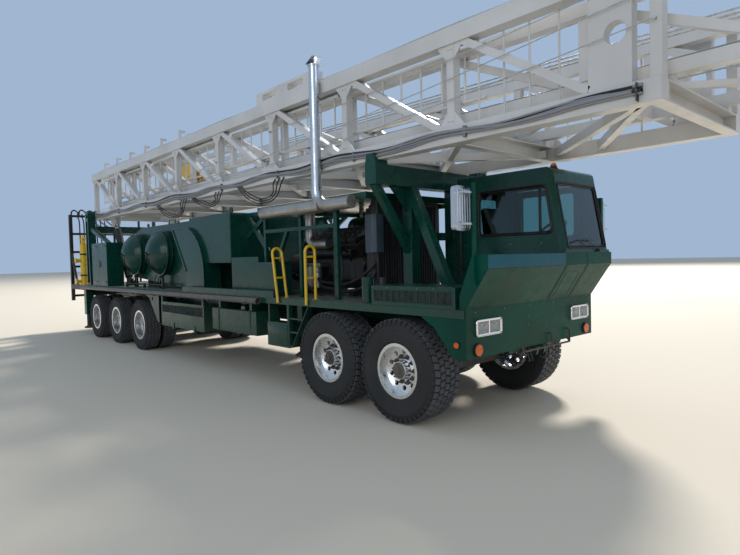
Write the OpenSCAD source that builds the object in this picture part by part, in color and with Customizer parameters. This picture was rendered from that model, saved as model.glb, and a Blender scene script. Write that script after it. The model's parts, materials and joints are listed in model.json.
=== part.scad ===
// Workover rig: a five-axle carrier with a telescoping mast laid down along it.
// Millimetres. +X is the driving direction, +Y the driver's side, Z is up.
// Places along X are measured from the front axle and moved once into the part's frame.

/* [Placing] */
// Front axle's place along X in the frame
front_axle_x = 3600; // [3300:10:3900]

/* [Wheels] */
// Outer diameter of a steering tyre
front_tyre_d = 1124; // [1080:1:1150]
// Width of a steering tyre
front_tyre_w = 420; // [380:5:430]
// Outer diameter of a driving tyre
rear_tyre_d = 1022; // [1000:1:1060]
// Width of a driving tyre
rear_tyre_w = 280; // [260:2:290]
// Distance between the two tyres of a pair, middle to middle
dual_pitch = 320; // [310:1:340]
// Radius of a rim's flange
rim_flange_r = 298; // [290:1:305]
// Radius of a tyre's bead seat
bead_r = 285; // [280:1:288]
// Distance between the two steering axles
front_spacing = 1200; // [1190:5:1300]
// Distance from the front axle to the first driving axle
wheelbase = 7470; // [7400:10:7700]
// Distance between two driving axles
rear_spacing = 1416; // [1300:2:1500]
// Distance from the middle of the rig to a tyre's outer face
tyre_face_y = 1250; // [1240:1:1260]
// Distance from the middle of the rig to a kingpin
kingpin_y = 800; // [760:5:805]
// Radius of a steering spindle
front_spindle_r = 40; // [30:1:45]
// Radius of a driving axle's spindle
rear_spindle_r = 50; // [40:1:55]

/* [Carrier] */
// Half the deck's width
deck_y = 1250; // [1240:1:1260]
// Height of the deck's top
deck_z = 1260; // [1250:1:1300]
// Depth of the deck's side channel
fascia_h = 80; // [60:1:90]
// Length of the deck behind the last driving axle
deck_overhang = 1098; // [1060:2:1140]
// Distance from the middle to a frame rail's outer face
rail_y = 430; // [400:5:450]
// Height of a frame rail
rail_h = 350; // [300:10:380]
// Width of a frame rail's flange
rail_w = 90; // [70:5:110]
// Thickness of folded plate
plate_t = 10; // [6:1:14]
// Radius of the tow clevis's holes
tow_hole_r = 21; // [16:1:24]
// Width of the raised side beam on the deck
curb_w = 120; // [80:5:130]
// Height of the raised side beam on the deck
curb_h = 90; // [60:5:110]
// Radius of the pipe beside the deck
pipe_r = 45; // [30:1:50]
// Middle of the bars of a side box's grille, one to the next
grille_pitch = 90; // [60:5:120]
// Radius of the yellow rails' tube
rail_tube_r = 19; // [14:1:22]

/* [Nose and cab] */
// Half the nose's width
nose_y = 1240; // [1200:5:1245]
// Front face of the bumper panel
nose_x = 953; // [930:1:980]
// Lower edge of the bumper panel
nose_bottom_z = 790; // [760:5:820]
// Upper edge of the bumper panel
nose_top_z = 1270; // [1262:1:1300]
// Front of the raked strip below the windscreen
brow_x = 1210; // [1150:5:1240]
// Lower edge of that strip
brow_z = 1650; // [1600:5:1680]
// Upper edge of that strip, where the windscreen starts
sill_z = 1785; // [1760:5:1800]
// Foot of the windscreen
screen_foot_x = 1185; // [1170:5:1195]
// Front edge of the cab's roof
roof_x = 1010; // [990:5:1030]
// Top of the cab's roof
roof_z = 2735; // [2715:5:2750]
// Rear face of the cab
cab_rear_x = -270; // [-300:5:-200]
// Right face of the cab
cab_right_y = 200; // [150:5:250]
// Thickness of the cab's walls
cab_wall = 35; // [25:1:45]
// Rear edge of the driver's door
door_rear_x = -60; // [-100:5:0]
// Front edge of the driver's door
door_front_x = 820; // [780:5:850]
// Gap round the driver's door
door_gap = 6; // [5:1:8]
// Leg of the bevel on the cab's corners beside the windscreen
pillar_bevel = 50; // [35:5:65]
// Place of the mirrors, from the front axle
mirror_x = 1040; // [1000:5:1060]

/* [Mast] */
// Half the lower section's width
mast_y = 1000; // [990:1:1010]
// Width of the lower section's chords
chord_w = 150; // [130:5:155]
// Height of the lower section's chords
chord_h = 170; // [150:5:175]
// Underside of the lower section as it lies
mast_z = 2900; // [2890:1:2920]
// Depth of the lower section, underside to top
mast_depth = 1150; // [1130:5:1170]
// Rear end of the lower section
mast_rear_x = -11100; // [-11120:5:-11080]
// Front end of the lower section
mast_front_x = 2600; // [2500:10:2700]
// First post of the lower section
first_post_x = -10980; // [-10990:5:-10960]
// Distance between two posts
bay = 1655; // [1640:1:1660]
// Width of the lower section's posts and diagonals
lacing_w = 90; // [70:5:100]
// Distance between the rungs of the ladder along the mast
ladder_pitch = 300; // [250:10:350]
// Place of the raising pivot, from the front axle
pivot_x = -11000; // [-11010:1:-10990]
// Radius of the raising pivot's pin
pivot_r = 45; // [35:1:50]
// Half the upper section's width
upper_y = 750; // [700:5:770]
// Width of the upper section's chords
upper_chord = 110; // [90:5:120]
// Depth of the upper section
upper_depth = 780; // [740:5:800]
// Rear end of the upper section
upper_rear_x = -10600; // [-10700:10:-10500]
// Front end of the upper section, below the crown
upper_front_x = 5050; // [5000:10:5100]
// Front of the crown
crown_x = 5500; // [5450:10:5550]
// Hinge of the racking board
board_hinge_x = -6100; // [-6200:10:-6000]
// Free end of the racking board
board_end_x = -11700; // [-11720:10:-11500]

/* [Machinery] */
// Middle of a drum, from the front axle
drum_front_x = -7080; // [-7120:10:-7040]
// Distance between the two drums
drum_spacing = 1430; // [1400:10:1460]
// Height of the drums' middle
drum_z = 1975; // [1940:5:2000]
// Radius of a drum's guard
drum_guard_r = 440; // [400:5:460]
// Distance from the middle of the rig to a drum guard's rim
drum_guard_y = 930; // [900:5:960]
// Height of a drum guard's dome
drum_dome_h = 250; // [180:10:270]
// Place of the main stack, from the front axle
stack_x = -1510; // [-1560:10:-1480]

/* [Raising rams] */
// Middle of a ram, from the middle of the rig
ram_y = 720; // [700:5:740]
// Foot pin of a ram, from the front axle
ram_foot_x = -9400; // [-9450:10:-9350]
// Head pin of a ram, from the front axle
ram_head_x = -10250; // [-10300:10:-10200]
// Height of the head pin
ram_head_z = 2750; // [2740:5:2780]
// Radius of a ram's barrel
ram_r = 85; // [70:5:90]
// Radius of a ram's rod
ram_rod_r = 45; // [35:5:45]

/* [Jacks] */
// Rear jack's distance behind the last driving axle
rear_jack_gap = 998; // [960:2:1008]
// Rear jack's distance from the middle
rear_jack_y = 1120; // [1100:5:1130]
// Underside of a rear jack's foot as stowed
rear_foot_z = 150; // [140:5:200]
// Front jack's place, from the front axle
front_jack_x = -2070; // [-2100:10:-2060]
// Front jack's distance from the middle
front_jack_y = 940; // [930:5:950]
// Underside of a front jack's foot as stowed
front_foot_z = 450; // [440:5:480]
// Radius of a jack's leg
jack_r = 65; // [55:5:70]

/* [Hidden] */

green = [0.02, 0.27, 0.20];
white = [0.90, 0.90, 0.87];
yellow = [0.85, 0.62, 0.10];
black = [0.06, 0.06, 0.07];
metal = [0.75, 0.76, 0.78];
smoke = [0.20, 0.30, 0.30, 0.5];
seat_gap = 0.3;
run_gap = 0.05;
ram_pin_r = 30;

// Places worked out from the driving sizes
front_tyre_y = tyre_face_y - front_tyre_w / 2;
dual_y = tyre_face_y - rear_tyre_w / 2 - dual_pitch / 2;
front_r = front_tyre_d / 2;
rear_r = rear_tyre_d / 2;
front_axle_places = [0, -front_spacing];
rear_axle_places = [for (i = [0:2]) -wheelbase - i * rear_spacing];
deck_rear_x = rear_axle_places[2] - deck_overhang;
canopy_under_z = 2540;
rear_jack_x = rear_axle_places[2] - rear_jack_gap;
deck_under_z = deck_z - fascia_h;
rail_bottom_z = deck_under_z - rail_h;
deck_front_x = nose_x - plate_t;
mast_top_z = mast_z + mast_depth;
pivot_z = mast_z + chord_h / 2;
post_places = [for (i = [0:7]) first_post_x + i * bay];
upper_z = mast_z + chord_h + 60;
upper_top_z = upper_z + upper_depth;
board_z = mast_top_z + 100;
rest_x = -520;
ram_foot_z = deck_z + 110;
ram_lean = atan2(ram_foot_x - ram_head_x, ram_head_z - ram_foot_z);
ram_length = norm([ram_foot_x - ram_head_x, ram_head_z - ram_foot_z]);
curb_x = [-5300, -2350];
pipe_x = [deck_rear_x + 100, -2660];
pipe_z = 1205;
cross_member_places = [800, -600, -1900, -3100, -4500, -5900, -6760, -8180, -9600, -11200];
bearer_places = concat([deck_front_x - 80], [for (i = [0:7]) -1700 - i * 1200], [-400, deck_rear_x + 40]);
drop_box_x = [-3650, -3350];
drop_box_z = 800;
drum_places = [drum_front_x, drum_front_x - drum_spacing];
engine_x = [-2950, -1500];
front_cabinet_x = [-3030, -2590];
front_cabinet_z = 1750;
mirror_z = [2005, 2410];
mast_span_z = [mast_z, mast_top_z];
lacing_z = [mast_z + chord_h, mast_top_z - chord_h];
jack_top_z = 1165;

function screen_x(z) = screen_foot_x - (screen_foot_x - roof_x) * (z - sill_z) / (roof_z - sill_z);

// Outline of a straight bar of width w from p to q
function bar_outline(p, q, w) =
    let (d = q - p, n = [-d[1], d[0]] / norm(d) * w / 2) [p + n, q + n, q - n, p - n];

// Outline with every corner rounded to radius r
function rounded(pts, r, n = 5) = [
    for (i = [0:len(pts) - 1])
        let (p = pts[i], a = pts[(i + len(pts) - 1) % len(pts)], b = pts[(i + 1) % len(pts)],
             u = (a - p) / norm(a - p), v = (b - p) / norm(b - p), half = acos(u * v) / 2,
             c = p + (u + v) / norm(u + v) * r / sin(half),
             s = p + u * r / tan(half) - c, e = p + v * r / tan(half) - c,
             from = atan2(s[1], s[0]), raw = atan2(e[1], e[0]) - from,
             sweep = raw > 180 ? raw - 360 : raw < -180 ? raw + 360 : raw)
            for (k = [0:n]) c + r * [cos(from + sweep * k / n), sin(from + sweep * k / n)]
];

// Channel section, open towards the greater x
function channel_outline(x, z, t) =
    [[x[0], z[0]], [x[1], z[0]], [x[1], z[0] + t], [x[0] + t, z[0] + t],
     [x[0] + t, z[1] - t], [x[1], z[1] - t], [x[1], z[1]], [x[0], z[1]]];

function box_outline(x, z) = [[x[0], z[0]], [x[1], z[0]], [x[1], z[1]], [x[0], z[1]]];

module at_axle() translate([front_axle_x, 0, 0]) children();

module both_sides() {
    children();
    mirror([0, 1, 0]) children();
}

// Block between two limits on each axis
module block(x, y, z)
    translate([x[0], y[0], z[0]]) cube([x[1] - x[0], y[1] - y[0], z[1] - z[0]]);

// Plate with an outline in X and Z, from y[0] to y[1]
module side_plate(outline, y)
    translate([0, y[1], 0]) rotate([90, 0, 0]) linear_extrude(y[1] - y[0]) polygon(outline);

// Plate with an outline in Y and Z, from x[0] to x[1]
module cross_plate(outline, x)
    translate([x[0], 0, 0]) rotate([90, 0, 90]) linear_extrude(x[1] - x[0]) polygon(outline);

// Plate with an outline in X and Y, from z[0] to z[1]
module floor_plate(outline, z)
    translate([0, 0, z[0]]) linear_extrude(z[1] - z[0]) polygon(outline);

module side_bar(p, q, w, y) side_plate(bar_outline(p, q, w), y);
module cross_bar(p, q, w, x) cross_plate(bar_outline(p, q, w), x);
module floor_bar(p, q, w, z) floor_plate(bar_outline(p, q, w), z);

// Round bar between two points
module rod(p, q, r) {
    d = q - p;
    translate(p) rotate([0, acos(d[2] / norm(d)), atan2(d[1], d[0])]) cylinder(h = norm(d), r = r);
}

// Round bar along Y
module pin(x, z, r, y) translate([x, y[0], z]) rotate([-90, 0, 0]) cylinder(h = y[1] - y[0], r = r);

// Turns a wheel built on Z so that its outer face looks to the side
module wheel_at(x, y, z, side) translate([x, side * y, z]) rotate([-side * 90, 0, 0]) children();

// Tyre about Z: tread band, rounded shoulders and a narrower bead
module tyre(d, w, shoulder)
    rotate_extrude() {
        r = d / 2;
        wall_r = bead_r + 45;
        translate([wall_r, -w / 2]) square([r - shoulder - wall_r, w]);
        translate([r - shoulder - 1, shoulder - w / 2]) square([shoulder + 1, w - 2 * shoulder]);
        for (s = [-1, 1]) translate([r - shoulder, s * (w / 2 - shoulder)]) circle(shoulder);
        translate([bead_r, -w * 0.4]) square([50, w * 0.8]);
    }

module front_tyre() color(black) tyre(front_tyre_d, front_tyre_w, 60);
// Rim barrel about Z with a flange at each end
module rim_barrel(w)
    rotate_extrude() {
        translate([bead_r - 22, -w / 2]) square([21.7, w]);
        for (y = [-w / 2, w / 2 - 12]) translate([bead_r - 22, y]) square([rim_flange_r - bead_r + 22, 12]);
    }

hand_holes = 10;
hand_hole_r = 27;
hand_hole_pcr = 200;

module hand_hole_cut(z)
    for (i = [0:hand_holes - 1])
        rotate([0, 0, (i + 0.5) * 360 / hand_holes])
            translate([hand_hole_pcr, 0, z[0]]) cylinder(h = z[1] - z[0], r = hand_hole_r);

front_rim_w = front_tyre_w * 0.8 + 24.6;
front_disc_z = 55;

module front_rim() color(metal) {
    rim_barrel(front_rim_w);
    difference() {
        rotate_extrude()
            polygon([
                [front_spindle_r + run_gap, -70], [100, -70], [110, front_disc_z - 25],
                [bead_r - 20, front_disc_z - 5], [bead_r - 20, front_disc_z + 20],
                [130, front_disc_z], [105, front_disc_z + 10], [95, 140], [60, 155],
                [0, 155], [0, 105], [front_spindle_r + run_gap, 105]
            ]);
        hand_hole_cut([0, 100]);
    }
}

rear_rim_w = rear_tyre_w * 0.8 + 24.6;

module rear_rims() color(metal) {
    for (s = [-1, 1]) translate([0, 0, s * dual_pitch / 2]) rim_barrel(rear_rim_w);
    difference() {
        union() {
            rotate_extrude() translate([100, -22]) square([bead_r - 122, 44]);
            for (s = [0, 1]) mirror([0, 0, s])
                rotate_extrude() translate([bead_r - 45, -22]) square([24, dual_pitch / 2]);
        }
        hand_hole_cut([-30, 30]);
    }
    rotate_extrude()
        polygon([
            [rear_spindle_r + run_gap, -150], [130, -150], [130, 80], [95, 100], [90, 165],
            [60, 180], [0, 180], [0, 105], [rear_spindle_r + run_gap, 105]
        ]);
}

module rear_tyres() color(black)
    for (s = [-1, 1]) translate([0, 0, s * dual_pitch / 2]) tyre(rear_tyre_d, rear_tyre_w, 40);

// Steering knuckle on the left: two lugs about the beam's boss, a web and the spindle
boss_r = 62;
boss_h = 120;
kingpin_r = 25;

module knuckle() color(black) {
    z = front_r;
    for (s = [-1, 1])
        translate([0, kingpin_y, z + s * (boss_h / 2 + 21)]) cylinder(h = 40, r = boss_r, center = true);
    block([-boss_r, boss_r], [kingpin_y + boss_r + 4, kingpin_y + boss_r + 29],
          [z - boss_h / 2 - 41, z + boss_h / 2 + 41]);
    for (s = [-1, 1])
        block([-45, 45], [kingpin_y, kingpin_y + boss_r + 10],
              [z + s * (boss_h / 2 + 21) - 20, z + s * (boss_h / 2 + 21) + 20]);
    translate([0, kingpin_y, z]) cylinder(h = boss_h + 60, r = kingpin_r, center = true);
    pin(0, z, front_spindle_r, [kingpin_y + boss_r + 20, front_tyre_y + 100]);
    pin(0, z, 95, [kingpin_y + boss_r + 20, front_tyre_y - 75]);
}

module axles() at_axle() color(black) {
    for (x = front_axle_places) translate([x, 0, front_r]) steer_axle();
    for (x = rear_axle_places) translate([x, 0, rear_r]) drive_axle();
    shaft_z = rear_r + 50;
    rod([drop_box_x[0] - 6, 0, drop_box_z + 70], [rear_axle_places[0] + 180, 0, shaft_z], 55);
    for (i = [0, 1])
        rod([rear_axle_places[i] - 180, 0, shaft_z], [rear_axle_places[i + 1] + 180, 0, shaft_z], 45);
}

// Dropped beam with a boss for the kingpin at each end
module steer_axle() {
    drop = 70;
    beam_end_y = kingpin_y - 40;
    for (s = [-1, 1]) translate([0, s * kingpin_y, -boss_h / 2]) difference() {
        cylinder(h = boss_h, r = boss_r);
        translate([0, 0, -1]) cylinder(h = boss_h + 2, r = kingpin_r + run_gap);
    }
    for (s = [-1, 1])
        cross_plate([[s * beam_end_y, 50], [s * beam_end_y, -50],
                     [s * 560, -45 - drop], [s * 560, 45 - drop]], [-45, 45]);
    block([-50, 50], [-600, 600], [-45 - drop, 45 - drop]);
    for (s = [-1, 1]) translate([0, s * (rail_y - rail_w / 2), 0]) leaf_spring(-25, rail_bottom_z - front_r);
}

// Tubular housing with a round differential, a nose for the shaft and brake backplates
module drive_axle() {
    pin(0, 0, 90, [-dual_y + 155, dual_y - 155]);
    pin(0, 0, rear_spindle_r, [-dual_y - 100, dual_y + 100]);
    sphere(r = 210);
    rod([-240, 0, 50], [240, 0, 50], 80);
    for (s = [-1, 1]) translate([0, s * (rail_y - rail_w / 2), 0]) leaf_spring(85, rail_bottom_z - rear_r);
}

// Leaf pack under a rail: stacked leaves of falling length, a saddle and a hanger at each end
module leaf_spring(z0, z1) {
    leaf_t = 22;
    leaf_w = [-38, 38];
    for (i = [0:3])
        block([-480 + i * 100, 480 - i * 100], leaf_w, [z1 - 90 - (i + 1) * leaf_t, z1 - 90 - i * leaf_t]);
    block([-70, 70], leaf_w, [z0, z1 - 90]);
    for (s = [-1, 1])
        side_plate([[s * 480, z1 - 90], [s * 400, z1 - 90], [s * 380, z1], [s * 500, z1]], leaf_w);
}

module chassis_frame() at_axle() color(green) {
    rail_front_x = 880;
    rail_x = [deck_rear_x + 40, rail_front_x];
    web = 12;
    both_sides() {
        block(rail_x, [rail_y - web, rail_y], [rail_bottom_z, deck_under_z]);
        for (z = [rail_bottom_z, deck_under_z - web]) block(rail_x, [rail_y - rail_w, rail_y], [z, z + web]);
    }
    for (x = cross_member_places)
        side_plate(channel_outline([x - 60, x + 60], [rail_bottom_z + 60, deck_under_z - 60], web),
                   [-rail_y + web, rail_y - web]);
    tow_hitch(rail_front_x);
}

// Cross beam under the rails' front ends with two eyes and a pin
module tow_hitch(x) {
    beam_h = 90;
    eye_x = x + 60;
    z = rail_bottom_z - beam_h / 2;
    block([x - 110, x], [-rail_y, rail_y], [rail_bottom_z - beam_h, rail_bottom_z]);
    for (y = [-90, 60]) difference() {
        side_plate(rounded(box_outline([x - 20, eye_x + 60], [z - 88, z]), 34), [y, y + 30]);
        pin(eye_x, z - 44, tow_hole_r, [y - 1, y + 31]);
    }
}

module deck() at_axle() color(green) {
    lip = 70;
    both_sides() {
        block([deck_rear_x, deck_front_x], [deck_y - plate_t, deck_y], [deck_under_z, deck_z]);
        block([deck_rear_x, deck_front_x], [deck_y - lip, deck_y], [deck_under_z, deck_under_z + plate_t]);
        block(curb_x, [deck_y - plate_t - curb_w, deck_y - plate_t], [deck_z, deck_z + curb_h]);
    }
    block([deck_rear_x, deck_front_x], [-deck_y, deck_y], [deck_z - plate_t, deck_z]);
    for (x = bearer_places)
        block([x - 40, x + 40], [-deck_y + plate_t, deck_y - plate_t], [deck_under_z, deck_z - plate_t]);
    side_pipe();
}

// Pipe beside the right edge of the deck on angle brackets, open at its front end
module side_pipe() {
    bracket_t = 8;
    y = -deck_y - bracket_t - pipe_r + 3;
    difference() {
        rod([pipe_x[0], y, pipe_z], [pipe_x[1], y, pipe_z], pipe_r);
        rod([pipe_x[1] - 60, y, pipe_z], [pipe_x[1] + 1, y, pipe_z], pipe_r - 9);
    }
    for (i = [0:7]) let (x = pipe_x[0] + 260 + i * 1150) {
        block([x - 25, x + 25], [-deck_y - bracket_t, -deck_y], [pipe_z - pipe_r - bracket_t, pipe_z + 30]);
        block([x - 25, x + 25], [y - pipe_r, -deck_y], [pipe_z - pipe_r - bracket_t, pipe_z - pipe_r + 2]);
    }
}

brow_inner = 12;

module nose() at_axle() color(green) {
    brow_back = brow_x - brow_inner;
    block([deck_front_x, nose_x], [-nose_y, nose_y], [nose_bottom_z, nose_top_z]);
    side_plate([[nose_x, nose_top_z], [brow_x, brow_z], [brow_x, sill_z], [brow_back, sill_z],
                [brow_back, brow_z], [deck_front_x, nose_top_z]], [-nose_y, nose_y]);
    both_sides() {
        side_plate([[380, deck_under_z], [556, 1080], [795, nose_bottom_z], [deck_front_x, nose_bottom_z],
                    [deck_front_x, deck_under_z]], [nose_y - plate_t, nose_y]);
        for (edge = [[[390, deck_under_z - 8], [559, 1080]], [[556, 1083], [795, nose_bottom_z + 3]]])
            side_bar(edge[0], edge[1], 8, [nose_y - 100, nose_y]);
        floor_plate([[mirror_x, nose_y], [mirror_x + 50, nose_y], [mirror_x + 50, nose_y + 50],
                     [mirror_x + 43, nose_y + 50], [mirror_x + 43, nose_y + 7], [mirror_x, nose_y + 7]],
                    [1500, mirror_z[1] + 30]);
    }
    side_plate([[880, deck_z], [deck_front_x, deck_z], [deck_front_x, nose_top_z], [brow_back, brow_z],
                [brow_back, sill_z], [1040, sill_z], [880, 1400]], [-nose_y, -nose_y + plate_t]);
}

roof_round = 70;

// The cab's outline with a rounded front edge of the roof
module cab_outline_solid(y, inset) {
    f = inset;
    side_plate([[cab_rear_x + f, deck_z + f], [deck_front_x - f * 0.4, deck_z + f],
                [deck_front_x - f * 0.4, nose_top_z + f * 0.4],
                [brow_x - brow_inner - f * 1.2, brow_z + f * 0.6], [brow_x - brow_inner - f * 1.2, sill_z],
                [screen_foot_x - f, sill_z], [screen_x(roof_z - roof_round) - f, roof_z - roof_round],
                [roof_x - f, roof_z - roof_round * 0.4 - f / 2], [roof_x - roof_round * 0.6 - f, roof_z - f],
                [cab_rear_x + f, roof_z - f]], y);
}

door_bottom_z = 1320;
door_top_z = 2620;
door_outline = rounded(box_outline([door_rear_x, door_front_x], [door_bottom_z, door_top_z]), 40);
side_window = [[50, 2005], [1040, 2005], [960, 2545], [50, 2545]];
door_window = box_outline([door_rear_x + 70, door_front_x - 70], [2000, 2540]);
rear_window = box_outline([cab_right_y + 200, nose_y - 200], [2050, 2520]);
screen_z = [sill_z + 50, roof_z - 165];
screen_inset = pillar_bevel + 25;
screen_y = [cab_right_y + screen_inset, nose_y - screen_inset];

function screen_outline(back, front) =
    [[screen_x(screen_z[0]) - back, screen_z[0]], [screen_x(screen_z[0]) - front, screen_z[0]],
     [screen_x(screen_z[1]) - front, screen_z[1]], [screen_x(screen_z[1]) - back, screen_z[1]]];

// Outside hinge of the driver's door, on a vertical axis beside its front edge
door_hinge_x = door_front_x;
door_hinge_y = nose_y + 13;
door_hinge_r = 13;
door_pin_r = 7;
door_hinge_z = [1480, 1820];

module door_lugs() for (z = door_hinge_z) {
    for (dz = [-45, 30]) {
        translate([door_hinge_x, door_hinge_y, z + dz]) cylinder(h = 15, r = door_hinge_r);
        block([door_hinge_x, door_hinge_x + 45], [nose_y, door_hinge_y], [z + dz, z + dz + 15]);
    }
    translate([door_hinge_x, door_hinge_y, z - 45]) cylinder(h = 90, r = door_pin_r);
}

module cab_shell() at_axle() color(green) {
    cab_body();
    door_lugs();
}

module cab_body() difference() {
    cab_outline_solid([cab_right_y, nose_y], 0);
    pillar_bevels(pillar_bevel);
    difference() {
        cab_outline_solid([cab_right_y + cab_wall, nose_y - cab_wall], cab_wall);
        pillar_bevels(pillar_bevel + cab_wall * sqrt(2));
    }
    side_plate(rounded(side_window, 60), [cab_right_y - 1, cab_right_y + cab_wall + 1]);
    side_plate(door_outline, [nose_y - cab_wall - 1, nose_y + 1]);
    cross_plate(rounded(rear_window, 50), [cab_rear_x - 1, cab_rear_x + cab_wall + 1]);
    side_plate(screen_outline(80, -30), screen_y);
}

// Prisms that bevel the raked corners beside the windscreen
module pillar_bevels(leg) {
    side = leg * sqrt(2);
    rake = atan2(screen_foot_x - roof_x, roof_z - sill_z);
    for (c = [[cab_right_y, side + 40, side], [nose_y, side, side + 40]])
        translate([screen_foot_x, c[0], sill_z]) rotate([0, -rake, 0]) rotate([0, 0, 45])
            translate([-c[1] / 2, -c[2] / 2, 30]) cube([c[1], c[2], roof_z - sill_z + 200]);
}

module cab_glass() at_axle() color(smoke) {
    side_plate(rounded(side_window, 60), [cab_right_y + 14, cab_right_y + 20]);
    cross_plate(rounded(rear_window, 50), [cab_rear_x + 14, cab_rear_x + 20]);
    side_plate(screen_outline(22, 14), screen_y);
}

module cab_door() at_axle() color(green) {
    door_leaf();
    door_knuckles();
}

module door_leaf() difference() {
    side_plate(rounded(box_outline([door_rear_x + door_gap, door_front_x - door_gap],
                                   [door_bottom_z + door_gap, door_top_z - door_gap]), 34),
               [nose_y - cab_wall, nose_y]);
    side_plate(rounded(door_window, 50), [nose_y - cab_wall - 1, nose_y + 1]);
}

module door_knuckles() for (z = door_hinge_z) difference() {
    union() {
        translate([door_hinge_x, door_hinge_y, z - 29]) cylinder(h = 58, r = door_hinge_r);
        block([door_hinge_x - 40, door_hinge_x], [nose_y, door_hinge_y], [z - 29, z + 29]);
    }
    translate([door_hinge_x, door_hinge_y, z - 50]) cylinder(h = 100, r = door_pin_r + run_gap);
}

module door_glass() at_axle() color(smoke)
    side_plate(rounded(door_window, 50), [nose_y - 20, nose_y - 14]);

module cab_interior() at_axle() color(black) {
    floor_z = deck_z + cab_wall;
    seat_y = (cab_right_y + nose_y) / 2;
    seat_z = floor_z + 330;
    wheel_at = [700, seat_y, floor_z + 740];
    block([0, 420], [seat_y - 180, seat_y + 180], [floor_z, seat_z]);
    side_plate(rounded(box_outline([-60, 460], [seat_z, seat_z + 130]), 50), [seat_y - 240, seat_y + 240]);
    side_plate(rounded([[-70, seat_z + 120], [70, seat_z + 120],
                        [-20, seat_z + 750], [-130, seat_z + 750]], 40), [seat_y - 230, seat_y + 230]);
    side_plate([[960, seat_z], [820, seat_z], [760, seat_z + 160],
                [800, seat_z + 250], [960, seat_z + 230]], [cab_right_y + cab_wall, nose_y - cab_wall]);
    rod([840, seat_y, seat_z + 200], wheel_at, 25);
    translate(wheel_at) rotate([0, -38, 0]) {
        rotate_extrude() translate([215, 0]) circle(16);
        for (a = [0, 120, 240]) rotate([0, 0, a]) block([0, 205], [-14, 14], [-8, 8]);
        cylinder(h = 40, r = 45, center = true);
    }
}

module lamps() at_axle() color([0.95, 0.65, 0.20]) {
    for (s = [-1, 1]) {
        translate([0, s * 905, 0]) headlamp([998, 1163]);
        translate([nose_x, s * 1070, 870]) rotate([0, 90, 0]) cylinder(h = 25, r = 55);
        pin(844, 925, 28, s > 0 ? [nose_y, nose_y + 18] : [-nose_y - 18, -nose_y]);
    }
    translate([roof_x - 90, cab_right_y + 240, roof_z]) cylinder(h = 36, r = 38);
    translate([roof_x - 90, cab_right_y + 240, roof_z + 36]) sphere(r = 34);
}

// Bezel with two rectangular lenses set into it
module headlamp(z) difference() {
    cross_plate(rounded(box_outline([-210, 210], z), 30), [nose_x, nose_x + 25]);
    for (y = [-180, 10]) block([nose_x + 17, nose_x + 26], [y, y + 170], [z[0] + 22, z[1] - 22]);
}

module mirrors() at_axle() color(metal) both_sides() {
    head_y = [nose_y + 5, nose_y + 225];
    difference() {
        cross_plate(rounded(box_outline(head_y, mirror_z), 40), [mirror_x - 60, mirror_x - 12]);
        cross_plate(rounded(box_outline([head_y[0] + 12, head_y[1] - 12],
                                        [mirror_z[0] + 12, mirror_z[1] - 12]), 30),
                    [mirror_x - 61, mirror_x - 54]);
    }
    for (z = [mirror_z[0] + 60, mirror_z[1] - 60])
        block([mirror_x - 12, mirror_x + 43 - seat_gap], [nose_y + 7 + seat_gap, head_y[1] - 40],
              [z - 10, z + 10]);
}

module mast_rest() at_axle() color(green) {
    beam_z = [2620, mast_z - 50];
    beam_x = [rest_x - 90, rest_x + 90];
    ear_y = mast_y + 60;
    block(beam_x, [-ear_y, ear_y], beam_z);
    both_sides() {
        block([rest_x - 70, rest_x + 70], [mast_y - chord_w, mast_y], [beam_z[1], mast_z - seat_gap]);
        side_plate([[beam_x[0], beam_z[1]], [beam_x[1], beam_z[1]],
                    [rest_x + 60, mast_z + 70], [rest_x - 60, mast_z + 70]], [mast_y + 8, ear_y]);
        block([rest_x - 75, rest_x + 75], [330, 470], [deck_z, beam_z[0]]);
        block([rest_x - 130, rest_x + 130], [290, 510], [deck_z, deck_z + 20]);
        cross_bar([1000, beam_z[0] + 20], [430, 1840], 90, [rest_x - 45, rest_x + 45]);
        cross_plate([[470, beam_z[0]], [760, beam_z[0]], [470, 2330]], [rest_x - 10, rest_x + 10]);
    }
    block([rest_x - 40, rest_x + 40], [-330, 330], [1980, 2080]);
    side_bar([rest_x + 20, beam_z[0] + 20], [70, 1430], 110, [-470, -360]);
    block([0, 140], [-480, -350], [deck_z, 1450]);
}

// Vee engine with its gearbox, fan and radiator, and the cabinets beside it
module engine() at_axle() color(black) {
    crank_z = 1640;
    cross_plate([[-230, deck_z + 90], [230, deck_z + 90], [330, 1480], [330, 1760],
                 [0, 1860], [-330, 1760], [-330, 1480]], engine_x);
    for (s = [-1, 1]) translate([0, 0, crank_z]) rotate([-s * 32, 0, 0]) engine_bank(s);
    rod([engine_x[0] + 150, 0, 2130], [engine_x[1] - 150, 0, 2130], 110);
    for (x = [engine_x[0] + 150, engine_x[1] - 150]) {
        block([x - 60, x + 60], [-430, 430], [deck_z, deck_z + 90]);
        block([x - 50, x + 50], [-70, 70], [1800, 2130]);
    }
    gearbox(crank_z);
    radiator();
    block([-3860, -3050], [-1040, -700], [deck_z, 1835]);
    block(front_cabinet_x, [-1060, -760], [deck_z, front_cabinet_z]);
}

// One bank of cylinders with its head covers and exhaust manifold
module engine_bank(s) {
    pitch = 215;
    block([engine_x[0] + 60, engine_x[1] - 60], [-140, 140], [100, 470]);
    for (i = [0:5]) let (x = engine_x[0] + 190 + i * pitch) {
        cross_plate(rounded(box_outline([-120, 120], [440, 560]), 40), [x - 90, x + 90]);
        rod([x, 0, 380], [x, s * 200, 380], 38);
    }
    rod([engine_x[0] + 150, s * 200, 380], [engine_x[1] - 150, s * 200, 380], 52);
}

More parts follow.
